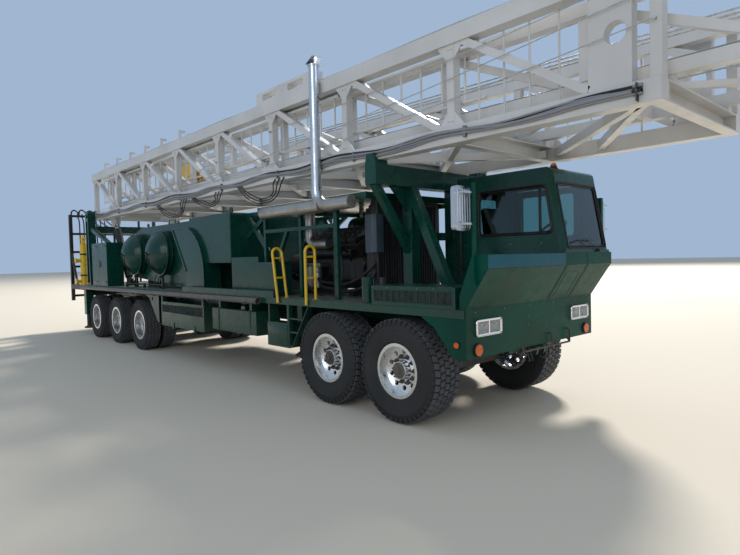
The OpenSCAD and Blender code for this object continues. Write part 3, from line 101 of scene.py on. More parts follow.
def linear(code: str) -> tuple[float, float, float, float]:
    """Turns an sRGB hex code into a linear colour.

    Args:
        code: Six hex digits.

    Returns:
        Red, green, blue and alpha, linear.
    """
    parts = [int(code[i : i + 2], 16) / 255 for i in (0, 2, 4)]
    red, green, blue = (p / 12.92 if p <= 0.04045 else ((p + 0.055) / 1.055) ** 2.4 for p in parts)
    return (red, green, blue, 1.0)


def fill(tree: bpy.types.NodeTree, node: bpy.types.Node, inputs: dict[Any, Any]) -> None:
    """Gives a node its input values and its links.

    Args:
        tree: The material's node tree.
        node: The node.
        inputs: Value or output socket for each input, by name or number.
    """
    for key, value in inputs.items():
        if isinstance(value, bpy.types.NodeSocket):
            tree.links.new(value, node.inputs[key])
        else:
            node.inputs[key].default_value = value


def add_node(
    tree: bpy.types.NodeTree,
    kind: str,
    inputs: dict[Any, Any] | None = None,
    out: int | str = 0,
    **settings: Any,
) -> bpy.types.NodeSocket:
    """Adds a shader node with its settings, its input values and its links.

    Args:
        tree: The material's node tree.
        kind: The node's type without its ShaderNode prefix.
        inputs: Value or output socket for each input, by name or number.
        out: The output that is wanted, by name or number.
        **settings: Properties of the node.

    Returns:
        The wanted output's socket.
    """
    node = tree.nodes.new("ShaderNode" + kind)
    for key, value in settings.items():
        setattr(node, key, value)
    fill(tree, node, inputs or {})
    return node.outputs[out]


# Finishes


@dataclass(frozen=True)
class Finish:
    """A finish that is made into one material the first time it is asked for."""

    name: str

    def material(self) -> bpy.types.Material:
        """Finds the finish's material, or makes it.

        Returns:
            The material.
        """
        made = bpy.data.materials.get(self.name)
        if made is None:
            made = bpy.data.materials.new(self.name)
            made.use_nodes = True
            self.mix(made.node_tree, made.node_tree.nodes["Principled BSDF"])
        return made

    def mix(self, tree: bpy.types.NodeTree, shader: bpy.types.Node) -> None:
        """Sets up the Principled shader of the material's node tree."""
        raise NotImplementedError


@dataclass(frozen=True)
class Enamel(Finish):
    """Sprayed enamel on plate: patches, road dust on ledges, rain streaks and chipped edges."""

    colour: str
    shade: str
    dust: str = "b9a68c"
    chip: str = "6d6a62"
    roughness: float = 0.3
    dust_share: float = 0.35
    streak_share: float = 0.25
    chip_share: float = 0.5
    coat: float = 0.3
    coat_roughness: float = 0.12
    patch: float = 0.7
    streak_width: float = 0.05
    streak_stretch: float = 14.0
    dust_grain: float = 0.12
    flake: float = 0.035
    splash_top: float = 1.5
    splash_foot: float = 0.3
    wave: float = 0.45
    edge: float = 0.005
    raised: float = 0.0
    mirror: float = 0.5

    def mix(self, tree: bpy.types.NodeTree, shader: bpy.types.Node) -> None:
        """Layers the paint, streaks, dust and chips.

        Args:
            tree: The material's node tree.
            shader: Its Principled shader.
        """
        node = partial(add_node, tree)
        blend = partial(add_node, tree, "Mix", out=2, data_type="RGBA")
        dust = linear(self.dust)
        place = node("TexCoord", out="Object")
        faces = node("NewGeometry", out="Normal")
        rounded = node("Bevel", {"Radius": self.edge}, samples=4)
        # Two shades of the paint in broad patches
        cloud = node("TexNoise", {"Vector": place, "Scale": 1 / self.patch, "Detail": 6.0})
        spread = node("MapRange", {0: cloud, 1: 0.38, 2: 0.64})
        paint = blend({0: spread, 6: linear(self.colour), 7: linear(self.shade)})
        # Rain streaks, drawn out along Z
        across = 1 / self.streak_width
        run = node("Mapping", {"Vector": place, "Scale": (across, across, across / self.streak_stretch)})
        rain = node("TexNoise", {"Vector": run, "Scale": 1.0, "Detail": 4.0})
        streaks = node("MapRange", {0: rain, 1: 0.52, 2: 0.78, 4: self.streak_share})
        streaked = blend({0: streaks, 6: paint, 7: dust})
        # Dust that settles on ledges, and dust thrown up from the road
        upward = node("SeparateXYZ", {0: faces}, 2)
        ledge = node("MapRange", {0: upward, 1: 0.3, 2: 0.95, 4: self.dust_share})
        grain = node("TexNoise", {"Vector": place, "Scale": 1 / self.dust_grain, "Detail": 8.0})
        settled = node("Math", {0: ledge, 1: grain}, operation="MULTIPLY")
        height = node("SeparateXYZ", {0: place}, 2)
        road = node("MapRange", {0: height, 1: self.splash_top, 2: self.splash_foot, 4: self.dust_share})
        thrown = node("Math", {0: road, 1: spread}, operation="MULTIPLY")
        dirty = node("Math", {0: settled, 1: thrown}, operation="MAXIMUM")
        dusty = blend({0: dirty, 6: streaked, 7: dust})
        # Chips where an edge turns
        turn = node("VectorMath", {0: rounded, 1: faces}, "Value", operation="DOT_PRODUCT")
        corner = node("MapRange", {0: turn, 1: 0.985, 2: 0.9})
        flakes = node("TexNoise", {"Vector": place, "Scale": 1 / self.flake, "Detail": 5.0})
        gap = node("MapRange", {0: flakes, 1: 0.56, 2: 0.62, 4: self.chip_share})
        chips = node("Math", {0: corner, 1: gap}, operation="MULTIPLY")
        worn = blend({0: chips, 6: dusty, 7: linear(self.chip)})
        # Dust dulls the gloss, and the sheet is never quite flat
        low, high = self.roughness - 0.06, self.roughness + 0.12
        gloss = node("MapRange", {0: grain, 1: 0.3, 2: 0.7, 3: low, 4: high})
        dulled = node("Math", {0: gloss, 1: dirty}, operation="ADD")
        sheet = node("TexNoise", {"Vector": place, "Scale": 1 / self.wave, "Detail": 1.0})
        normal = node("Bump", {"Strength": 0.35, "Distance": 0.01, "Height": sheet, "Normal": rounded})
        if self.raised:
            normal = self.tread(tree, place, normal)
        fill(tree, shader, {"Base Color": worn, "Roughness": dulled, "Normal": normal})
        coat = {"Coat Weight": self.coat, "Coat Roughness": self.coat_roughness}
        fill(tree, shader, {"Specular IOR Level": self.mirror, **coat})

    def tread(
        self, tree: bpy.types.NodeTree, place: bpy.types.NodeSocket, normal: bpy.types.NodeSocket
    ) -> bpy.types.NodeSocket:
        """Adds the raised lozenges of tread plate.

        Args:
            tree: The material's node tree.
            place: The coordinates.
            normal: The normal below the lozenges.

        Returns:
            The normal with the lozenges on it.
        """
        node = partial(add_node, tree)
        pitch = 1 / self.raised
        angle = (0, 0, math.radians(45))
        angled = node("Mapping", {"Vector": place, "Rotation": angle, "Scale": (pitch,) * 3})
        grid = {"Vector": angled, "Scale": 1.0, "Randomness": 0.0}
        cells = node("TexVoronoi", grid, "Distance", distance="MANHATTAN")
        studs = node("MapRange", {0: cells, 1: 0.42, 2: 0.3})
        return node("Bump", {"Strength": 0.8, "Distance": 0.006, "Height": studs, "Normal": normal})


@dataclass(frozen=True)
class Metal(Finish):
    """Bare or plated metal with a worked grain and some stain."""

    colour: str
    stain: str
    roughness: float
    stain_share: float = 0.3
    grain: float = 0.02
    patch: float = 0.15

    def mix(self, tree: bpy.types.NodeTree, shader: bpy.types.Node) -> None:
        """Mixes the metal and its stain.

        Args:
            tree: The material's node tree.
            shader: Its Principled shader.
        """
        node = partial(add_node, tree)
        place = node("TexCoord", out="Object")
        cloud = node("TexNoise", {"Vector": place, "Scale": 1 / self.patch, "Detail": 6.0})
        spread = node("MapRange", {0: cloud, 1: 0.45, 2: 0.7, 4: self.stain_share})
        colour = node("Mix", {0: spread, 6: linear(self.colour), 7: linear(self.stain)}, 2, data_type="RGBA")
        fine = node("TexNoise", {"Vector": place, "Scale": 1 / self.grain, "Detail": 3.0})
        gloss = node("MapRange", {0: fine, 1: 0.3, 2: 0.7, 3: self.roughness * 0.8, 4: self.roughness * 1.3})
        dulled = node("Math", {0: gloss, 1: spread}, operation="ADD")
        bump = node("Bump", {"Strength": 0.15, "Distance": 0.002, "Height": fine})
        fill(tree, shader, {"Metallic": 1.0, "Base Color": colour, "Roughness": dulled, "Normal": bump})


@dataclass(frozen=True)
class Rubber(Finish):
    """Moulded rubber with dust in its low places."""

    colour: str
    dust: str
    roughness: float = 0.75
    dust_share: float = 0.6
    patch: float = 0.09
    grain: float = 0.008

    def mix(self, tree: bpy.types.NodeTree, shader: bpy.types.Node) -> None:
        """Mixes the rubber and its dust.

        Args:
            tree: The material's node tree.
            shader: Its Principled shader.
        """
        node = partial(add_node, tree)
        place = node("TexCoord", out="Object")
        cloud = node("TexNoise", {"Vector": place, "Scale": 1 / self.patch, "Detail": 8.0})
        spread = node("MapRange", {0: cloud, 1: 0.4, 2: 0.72, 4: self.dust_share})
        colour = node("Mix", {0: spread, 6: linear(self.colour), 7: linear(self.dust)}, 2, data_type="RGBA")
        fine = node("TexNoise", {"Vector": place, "Scale": 1 / self.grain, "Detail": 2.0})
        bump = node("Bump", {"Strength": 0.25, "Distance": 0.002, "Height": fine})
        fill(tree, shader, {"Roughness": self.roughness, "Base Color": colour, "Normal": bump})


@dataclass(frozen=True)
class Glass(Finish):
    """Clear or tinted glass; ribs gives a pressed lens its flutes, at that spacing."""

    colour: str
    clear: float = 0.9
    roughness: float = 0.03
    ribs: float = 0.0
    film: float = 0.3

    def mix(self, tree: bpy.types.NodeTree, shader: bpy.types.Node) -> None:
        """Sets the tint and the flutes.

        Args:
            tree: The material's node tree.
            shader: Its Principled shader.
        """
        node = partial(add_node, tree)
        place = node("TexCoord", out="Object")
        film = node("TexNoise", {"Vector": place, "Scale": 1 / self.film, "Detail": 3.0})
        dull = node("MapRange", {0: film, 1: 0.4, 2: 0.8, 3: self.roughness, 4: self.roughness + 0.08})
        fill(tree, shader, {"Base Color": linear(self.colour), "Roughness": dull})
        fill(tree, shader, {"Transmission Weight": self.clear, "IOR": 1.5})
        if self.ribs:
            # A wave texture of scale 1 repeats every 0.31416 m
            wave = {"Vector": place, "Scale": 0.31416 / self.ribs, "Distortion": 0.0}
            flutes = node("TexWave", wave, bands_direction="Y")
            bump = node("Bump", {"Strength": 0.7, "Distance": 0.003, "Height": flutes})
            fill(tree, shader, {"Normal": bump})


# Gloss enamel on the carrier: deep green with a blue cast, dusted on its ledges
CARRIER_GREEN = Enamel(
    "carrier_gloss_enamel", "073f33", "06362c", dust="8d8468", roughness=0.22, coat=0.15, chip="2c4a3f",
    dust_share=0.12, streak_share=0.03, chip_share=0.25, wave=0.9, mirror=0.28
)
# The carrier's enamel again on the raked sheet and the bumper, as a lit copy: painted brighter and with its
# reflection turned down, for how the light falls on the nose
NOSE_LIT_COPY_GREEN = Enamel(
    "nose_lit_copy_enamel", "07483a", "063c30", dust="8d8468", roughness=0.28, coat=0.0, chip="2c4a3f",
    dust_share=0.04, streak_share=0.01, chip_share=0.2, wave=1.2, mirror=0.1
)
# Green enamel painted blue-green with a painted reflection of the sky, for the shaded part of the strip below
# the windscreen
STRIP_SKY_REFLECTION_GREEN = Enamel(
    "strip_painted_sky_reflection", "0e5463", "0c4a58", dust="8d8468", roughness=0.2, coat=0.1, chip="2c4a3f",
    dust_share=0.04, streak_share=0.0, chip_share=0.2, mirror=0.2
)
# The same enamel on tread plate, walked grey
DECK_GREEN = Enamel(
    "tread_plate_enamel", "14483a", "0d3a2f", roughness=0.45, coat=0.1, dust_share=0.45, chip_share=0.6,
    raised=0.045
)
# White enamel on the mast: greyish in the shade, with faint brown runs from the joints
MAST_WHITE = Enamel(
    "mast_white_enamel", "cfcdca", "c3c0bc", dust="a79d90", chip="8a7460", roughness=0.36, coat=0.15,
    streak_share=0.1, dust_share=0.12, chip_share=0.25
)
# Yellow enamel on rails, the upright cylinder and the travelling block
RAIL_YELLOW = Enamel(
    "safety_yellow_enamel", "e3b80c", "d2a50a", dust="b3a26a", roughness=0.3, chip="4a4438", dust_share=0.15,
    streak_share=0.08, chip_share=0.3
)
# Satin black paint on axles, engine and jacks
CHASSIS_BLACK = Enamel(
    "chassis_black_paint", "121315", "1a1b1d", roughness=0.42, coat=0.0, dust_share=0.3, chip="3d3a36",
    streak_share=0.08, chip_share=0.3
)
# Weathered dark pipe beside the deck, brown where it is handled
PIPE_BROWN = Enamel("weathered_pipe_paint", "4d4942", "3f3b35", roughness=0.38, coat=0.15, chip="6a4b36")
# Grey paint on the engine's small pipes and filters
PIPE_GREY = Enamel("pipe_grey_paint", "7f8480", "6e736f", roughness=0.45, coat=0.05, chip="6a4b36")
# Blue-grey paint on the panel beside the radiator
PANEL_GREY = Enamel("panel_blue_grey_paint", "35424d", "2d3943", roughness=0.35, coat=0.2)
# Forged aluminium, polished on the wheels
WHEEL_ALUMINIUM = Metal("polished_wheel_aluminium", "efeeec", "c2c0ba", 0.24, stain_share=0.06)
# Aluminised steel tube of the exhaust, dull and heat-stained
EXHAUST_STEEL = Metal("aluminised_exhaust_steel", "b5b1aa", "7a6654", 0.36, stain_share=0.4, patch=0.3)
# Plated stack, brushed round its length
STACK_CHROME = Metal("brushed_stack_plating", "cfd2d6", "8f9296", 0.24, stain_share=0.2, patch=0.25)
# Hard chrome on the ram rods and the mirrors
HARD_CHROME = Metal("hard_chrome", "dfe0e2", "9a9a98", 0.08, stain_share=0.08)
# Zinc-plated steel of bolts, clamps and latches
ZINC_STEEL = Metal("zinc_plated_steel", "8f908c", "5c5348", 0.38, stain_share=0.4, patch=0.05)
# Galvanised wire rope, weathered light grey
WIRE_ROPE = Metal("galvanised_wire_rope", "c4c3be", "8a8780", 0.5, stain_share=0.3, grain=0.006, patch=0.03)
# Tyre rubber: dark grey with a thin even dust
TYRE_RUBBER = Rubber("tyre_wall_rubber", "232221", "3f3b37", dust_share=0.3, patch=0.4)
# The tread's rubber, scuffed grey by the road
TREAD_RUBBER = Rubber("tyre_tread_rubber", "4a4b4d", "6b6965", roughness=0.85, dust_share=0.5, patch=0.2)
# Smooth hose rubber
HOSE_RUBBER = Rubber("hose_rubber", "141415", "3c3935", roughness=0.45, dust_share=0.2)
# Grey sheathed hose
HOSE_GREY = Rubber("hose_grey_sheath", "85868b", "97948f", roughness=0.5, dust_share=0.3)
# Extruded window rubber
SEAL_RUBBER = Rubber("window_seal_rubber", "0b0b0c", "262421", roughness=0.5, dust_share=0.15)
# Moulded trim inside the cab, vinyl on the seat
CAB_VINYL = Rubber("cab_vinyl", "101112", "1d1c1a", roughness=0.6, dust_share=0.2, patch=0.3)
# Tinted safety glass
CAB_GLASS = Glass("tinted_safety_glass", "8fb9b8", clear=1.0, roughness=0.0)
# Pressed amber lens
AMBER_LENS = Glass("amber_lens", "ff6a08", clear=0.3, roughness=0.12, ribs=0.008)
# Pressed clear lens of a headlamp
CLEAR_LENS = Glass("clear_fluted_lens", "a9b3b6", clear=0.7, roughness=0.06, ribs=0.012)
# Frosted tube of the mast's lamps
TUBE_LENS = Glass("frosted_tube_lens", "dfe1df", clear=0.2, roughness=0.5)
# Expanded steel mesh in the boxes' recesses, painted black
MESH_STEEL = Metal("dark_expanded_mesh", "595d5b", "4a463f", 0.5, stain_share=0.4, grain=0.012, patch=0.06)
# Red moulded cap
RED_CAP = Rubber("red_moulded_cap", "a81c14", "7a2018", roughness=0.4, dust_share=0.2)

SLOT_FINISH: dict[Slot, Finish] = {
    Slot.GREEN: CARRIER_GREEN,
    Slot.WHITE: MAST_WHITE,
    Slot.YELLOW: RAIL_YELLOW,
    Slot.BLACK: CHASSIS_BLACK,
    Slot.METAL: WHEEL_ALUMINIUM,
    Slot.CHROME: HARD_CHROME,
    Slot.RUBBER: TYRE_RUBBER,
    Slot.GLASS: CAB_GLASS,
    Slot.TRIM: CAB_VINYL,
    Slot.LENS: AMBER_LENS,
}


# Making pieces


def faces_at(verts: Iterable[bmesh.types.BMVert]) -> list[bmesh.types.BMFace]:
    """Returns the faces that meet at some corners, each once and in a fixed order."""
    return list(dict.fromkeys(face for vert in verts for face in vert.link_faces))


def add_object(name: str, data: bpy.types.ID) -> bpy.types.Object:
    """Adds an object to the scene.

    Args:
        name: Its name.
        data: Its mesh, camera or light.

    Returns:
        The object.
    """
    made = bpy.data.objects.new(name, data)
    bpy.context.scene.collection.objects.link(made)
    return made


def rectangle(low: Flat, high: Flat) -> list[Flat]:
    """Returns a rectangle's corners in order, from its lowest and its highest."""
    return [low, (high[0], low[1]), high, (low[0], high[1])]


def softened(corners: Sequence[Point], radius: float, steps: int = 4) -> list[Point]:
    """Rounds the corners of a closed outline.

    Args:
        corners: The outline's corners.
        radius: How far from a corner its round starts.
        steps: Number of stretches in each round.

    Returns:
        The points of the rounded outline.
    """
    points = [Vector(c) for c in corners]
    outline = []
    for i, corner in enumerate(points):
        start = corner + (points[i - 1] - corner).normalized() * radius
        end = corner + (points[(i + 1) % len(points)] - corner).normalized() * radius
        for k in range(steps + 1):
            t = k / steps
            outline.append(tuple((1 - t) ** 2 * start + 2 * t * (1 - t) * corner + t * t * end))
    return outline


class Piece:
    """A mesh in the making, shaped with bmesh operators and then put on a body."""

    def __init__(self, name: str, *finishes: Finish) -> None:
        """Starts an empty piece.

        Args:
            name: The piece's name.
            *finishes: Its finishes; a shape is given one by its number.
        """
        self.name = name
        self.finishes = finishes
        self.mesh = bmesh.new()

    def dress(self, faces: Iterable[bmesh.types.BMFace], finish: int) -> None:
        """Gives faces a finish by its number."""
        for face in faces:
            face.material_index = finish

    def block(self, place: Matrix, size: Sequence[float], finish: int = 0) -> list[bmesh.types.BMFace]:
        """Adds a block.

        Args:
            place: Where its middle is and how it is turned.
            size: Its three sizes.
            finish: Number of its finish.

        Returns:
            Its faces.
        """
        made = bmesh.ops.create_cube(self.mesh, size=1.0, matrix=place @ Matrix.Diagonal((*size, 1.0)))
        faces = faces_at(made["verts"])
        self.dress(faces, finish)
        return faces

    def box(self, one: Point, other: Point, bevel: float = 0.0, finish: int = 0) -> None:
        """Adds a block between two opposite corners.

        Args:
            one: One corner.
            other: The corner opposite.
            bevel: Width of the bevel on its edges.
            finish: Number of its finish.
        """
        low, high = (Vector([pick(pair) for pair in zip(one, other)]) for pick in (min, max))
        faces = self.block(Matrix.Translation((low + high) / 2), high - low, finish)
        if bevel:
            edges = list(dict.fromkeys(edge for face in faces for edge in face.edges))
            bmesh.ops.bevel(
                self.mesh, geom=edges, offset=bevel, segments=2, profile=0.5, affect="EDGES", material=-1,
                clamp_overlap=True,
            )

    def rod(self, start: Point, end: Point, radius: float, sides: int = 20, finish: int = 0) -> None:
        """Adds a round bar between two points.

        Args:
            start: Middle of its first end.
            end: Middle of its last end.
            radius: Its radius.
            sides: Number of sides.
            finish: Number of its finish.
        """
        a, b = Vector(start), Vector(end)
        along = b - a
        turn = Vector((0, 0, 1)).rotation_difference(along).to_matrix().to_4x4()
        made = bmesh.ops.create_cone(
            self.mesh, cap_ends=True, segments=sides, radius1=radius, radius2=radius, depth=along.length,
            matrix=Matrix.Translation((a + b) / 2) @ turn,
        )
        self.dress(faces_at(made["verts"]), finish)

    def ball(self, middle: Point, radius: float, finish: int = 0) -> None:
        """Adds a ball.

        Args:
            middle: Its middle.
            radius: Its radius.
            finish: Number of its finish.
        """
        made = bmesh.ops.create_uvsphere(
            self.mesh, u_segments=16, v_segments=10, radius=radius, matrix=Matrix.Translation(middle)
        )
        self.dress(faces_at(made["verts"]), finish)

    def turned(
        self, outline: Sequence[Flat], middle: Point, axis: Point, steps: int = 48, finish: int = 0
    ) -> None:
        """Adds a turned shape.

        Args:
            outline: Radius and distance along the axis of each point.
            middle: Point that the distances start from.
            axis: Direction of the axis.
            steps: Number of steps round it.
            finish: Number of its finish.
        """
        direction = Vector(axis).normalized()
        across = direction.orthogonal().normalized()
        centre = Vector(middle)
        verts = [self.mesh.verts.new(centre + across * r + direction * along) for r, along in outline]
        edges = [self.mesh.edges.new(pair) for pair in zip(verts, verts[1:])]
        known = set(self.mesh.faces)
        bmesh.ops.spin(
            self.mesh, geom=verts + edges, cent=centre, axis=direction, angle=math.tau, steps=steps,
            use_merge=True,
        )
        corners = dict.fromkeys(v for f in self.mesh.faces if f not in known for v in f.verts)
        bmesh.ops.remove_doubles(self.mesh, verts=list(corners), dist=MERGE_DISTANCE)
        faces = [f for f in self.mesh.faces if f not in known]
        bmesh.ops.recalc_face_normals(self.mesh, faces=faces)
        self.dress(faces, finish)

    def line(
        self,
        points: Sequence[Point],
        radius: float,
        closed: bool = False,
        curved: bool = False,
        finish: int = 0,
    ) -> None:
        """Adds a round line through points.

        Args:
            points: The points.
            radius: The line's radius.
            closed: Whether it joins up.
            curved: Whether it bends smoothly.
            finish: Number of its finish.
        """
        curve = bpy.data.curves.new(self.name + "_path", "CURVE")
        curve.dimensions = "3D"
        curve.bevel_depth = radius
        curve.bevel_resolution = 2
        curve.resolution_u = 6
        curve.use_fill_caps = True
        spline = curve.splines.new("BEZIER")
        spline.bezier_points.add(len(points) - 1)
        for knot, point in zip(spline.bezier_points, points):
            knot.co = point
            knot.handle_left_type = knot.handle_right_type = "AUTO" if curved else "VECTOR"
        spline.use_cyclic_u = closed
        if not curved:
            spline.resolution_u = 1
        carrier = bpy.data.objects.new(self.name + "_path", curve)
        tube = bpy.data.meshes.new_from_object(carrier)
        known = len(self.mesh.faces)
        self.mesh.from_mesh(tube)
        self.mesh.faces.ensure_lookup_table()
        self.dress(self.mesh.faces[known:], finish)
        bpy.data.objects.remove(carrier)
        bpy.data.curves.remove(curve)
        bpy.data.meshes.remove(tube)

    def hoop(self, corners: Sequence[Point], bend: float, radius: float, finish: int = 0) -> None:
        """Adds a closed round line with its corners rounded."""
        self.line(softened(corners, bend), radius, closed=True, finish=finish)

    def bar(
        self, start: Vector, end: Vector, width: float, facing: Vector, depth: float, finish: int = 0
    ) -> None:
        """Adds a flat bar between two points.

        Args:
            start: Middle of its first end.
            end: Middle of its last end.
            width: Its width.
            facing: The way its flat side faces.
            depth: Its thickness.
            finish: Number of its finish.
        """
        along = end - start
        across = facing.cross(along).normalized()
        turn = Matrix((along.normalized(), across, facing.normalized())).transposed().to_4x4()
        self.block(Matrix.Translation((start + end) / 2) @ turn, (along.length, width, depth), finish)

    def net(self, corner: Point, along: Point, up: Point, finish: int) -> None:
        """Adds a sheet of expanded metal as crossing strands.

        Args:
            corner: The sheet's corner.
            along: Its long edge, as a direction and length.
            up: Its short edge, as a direction and length.
            finish: Number of its finish.
        """
        cell, rise, strand = 0.036, 0.022, 0.0045
        origin, u, v = Vector(corner), Vector(along), Vector(up)
        length, height = u.length, v.length
        u, v = u / length, v / height
        reach = height * cell / rise
        for i in range(-math.ceil(reach / cell), math.ceil((length + reach) / cell) + 1):
            for lean in (-1, 1):
                foot = i * cell
                low, high = sorted((foot, foot + lean * reach))
                low, high = max(low, 0.0), min(high, length)
                if high - low < cell / 4:
                    continue
                start, end = (origin + u * p + v * (lean * (p - foot) / reach * height) for p in (low, high))
                self.bar(start, end, strand, u.cross(v), strand * 0.6, finish)

    def hex_bolt(self, middle: Point, axis: Point, across: float = 0.02, finish: int = 0) -> None:
        """Adds a bolt's head with its washer.

        Args:
            middle: Where it sits.
            axis: The way it faces.
            across: Its width.
            finish: Number of its finish.
        """
        direction = Vector(axis).normalized() * across
        foot = Vector(middle)
        washer = foot + direction * 0.15
        self.rod(foot, washer, across * 0.75, 12, finish)
        self.rod(washer, foot + direction * 0.75, across * 0.55, 6, finish)

    def put(self, body: str, angle: float = 35.0) -> bpy.types.Object:
        """Finishes the piece and puts it on a body.

        Args:
            body: The body it rides on.
            angle: Edges sharper than this many degrees stay sharp.

        Returns:
            The finished object.
        """
        bmesh.ops.translate(self.mesh, verts=self.mesh.verts, vec=(FRONT_AXLE, 0, 0))
        for face in self.mesh.faces:
            face.smooth = True
        for edge in self.mesh.edges:
            if len(edge.link_faces) == 2 and edge.calc_face_angle(0.0) > math.radians(angle):
                edge.smooth = False
        mesh = bpy.data.meshes.new(self.name)
        self.mesh.to_mesh(mesh)
        self.mesh.free()
        for finish in self.finishes:
            mesh.materials.append(finish.material())
        piece = add_object(self.name, mesh)
        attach(piece, body)
        LOG.info("%s on %s: %d faces", self.name, body, len(mesh.polygons))
        return piece


class Spot(NamedTuple):
    """The middle of a CAD face, measured from the front axle, and how far the face looks up."""

    x: float
    y: float
    z: float
    up: float


def dress_node(
    frame: dict[str, Any],
    node: str,
    finishes: Sequence[Finish],
    choose: Callable[[Spot], int] = lambda spot: 0,
) -> None:
    """Gives a CAD node its finishes, face by face.

    Args:
        node: The node's name.
        finishes: Its finishes.
        choose: Gives a finish's number from a face's spot.
    """
    mesh = frame["nodes"][node].data
    mesh.materials.clear()
    for finish in finishes:
        mesh.materials.append(finish.material())
    for face in mesh.polygons:
        x, y, z = face.center
        face.material_index = choose(Spot(x - FRONT_AXLE, y, z, face.normal.z))


# Sub-assemblies


@dataclass
class Tyre:
    """A tyre about Y: its section and the blocks of its tread."""

    radius: float
    width: float
    blocks: int
    rows: int = 5
    bead: float = 0.286
    groove: float = 0.016
    sunk: float = 0.008
    tread_share: float = 0.9
    block_share: float = 0.74
    row_share: float = 0.84
    skew: float = 14.0
    shoulder_drop: float = 0.002
    foot_size: Point = (0.8, 0.05, 0.05)
    foot_share: float = 0.462
    foot_drop: float = 0.04
    foot_lean: float = 12.0

    def section(self) -> list[Flat]:
        """Draws the section from bead to bead.

        Returns:
            Radius and distance along the axle of each point.
        """
        # Share of the wall's height, and half width as a share of the whole
        wall_shape = (
            (0.0, 0.34), (0.0, 0.4), (0.07, 0.42), (0.12, 0.445), (0.14, 0.462), (0.17, 0.46), (0.34, 0.492),
            (0.48, 0.5), (0.62, 0.497), (0.66, 0.503), (0.69, 0.502), (0.71, 0.492), (0.86, 0.47),
        )
        wall = self.radius - self.bead
        crown = self.radius - self.groove
        side = [(self.bead + wall * t, self.width * w) for t, w in wall_shape]
        side += [(crown - sunk, self.width * w) for sunk, w in ((0.012, 0.45), (0.004, 0.42), (0.0, 0.3))]
        return [(r, -y) for r, y in side] + [(r, y) for r, y in reversed(side)]

    def shape(self) -> bpy.types.Mesh:
        """Shapes the tyre, standing at the origin.

        Returns:
            Its mesh.
        """
        piece = Piece("tyre_shape")
        piece.turned(self.section(), (0, 0, 0), (0, 1, 0), steps=96)
        pitch = math.tau / self.blocks
        row_pitch = self.tread_share * self.width / self.rows
        height = self.groove + self.sunk
        size = (self.radius * pitch * self.block_share, row_pitch * self.row_share, height)
        for row in range(self.rows):
            y = (row - (self.rows - 1) / 2) * row_pitch
            outer = row in (0, self.rows - 1)
            z = self.radius - height / 2 - (self.shoulder_drop if outer else 0.0)
            lean = Matrix.Rotation(math.radians(self.skew if row % 2 else -self.skew), 4, "Z")
            for i in range(self.blocks):
                turn = Matrix.Rotation(pitch * (i + 0.5 * (row % 2)), 4, "Y")
                piece.block(turn @ Matrix.Translation((0, y, z)) @ lean, size, 1)
                if outer:
                    self.shoulder_block(piece, turn, math.copysign(1.0, y), pitch)
        mesh = bpy.data.meshes.new("tyre_shape")
        piece.mesh.to_mesh(mesh)
        piece.mesh.free()
        return mesh

    def shoulder_block(self, piece: Piece, turn: Matrix, side: float, pitch: float) -> None:
        """Adds the foot of a shoulder block down the tyre's wall.

        Args:
            piece: The tyre.
            turn: The block's turn round the axle.
            side: The wall, as the sign of its Y.
            pitch: Angle from block to block.
        """
        place = Matrix.Translation((0, side * self.width * self.foot_share, self.radius - self.foot_drop))
        lean = Matrix.Rotation(side * math.radians(self.foot_lean), 4, "X")
        share, depth, height = self.foot_size
        length = self.radius * pitch * self.block_share * share
        piece.block(turn @ place @ lean, (length, self.width * depth, height))


@dataclass(frozen=True)
class Ring:
    """Hexagon heads in a ring round an axle, on studs where a stud's length is given."""

    radius: float
    count: int
    outward: float
    across: float
    stud: float = 0.0
    stud_radius: float = 0.01

    def fit(self, piece: Piece, middle: Point, side: Side, finish: int = 0) -> None:
        """Puts the ring on a wheel.

        Args:
            piece: The piece it belongs to.
            middle: The wheel's middle.
            side: The rig's side.
            finish: Number of its finish.
        """
        for i in range(self.count):
            angle = math.tau * i / self.count
            x, z = middle[0] + self.radius * math.cos(angle), middle[2] + self.radius * math.sin(angle)
            y = middle[1] + side.value * self.outward
            piece.hex_bolt((x, y, z), side.out, self.across, finish)
            if self.stud:
                piece.rod((x, y, z), (x, y + side.value * self.stud, z), self.stud_radius, 10, finish)


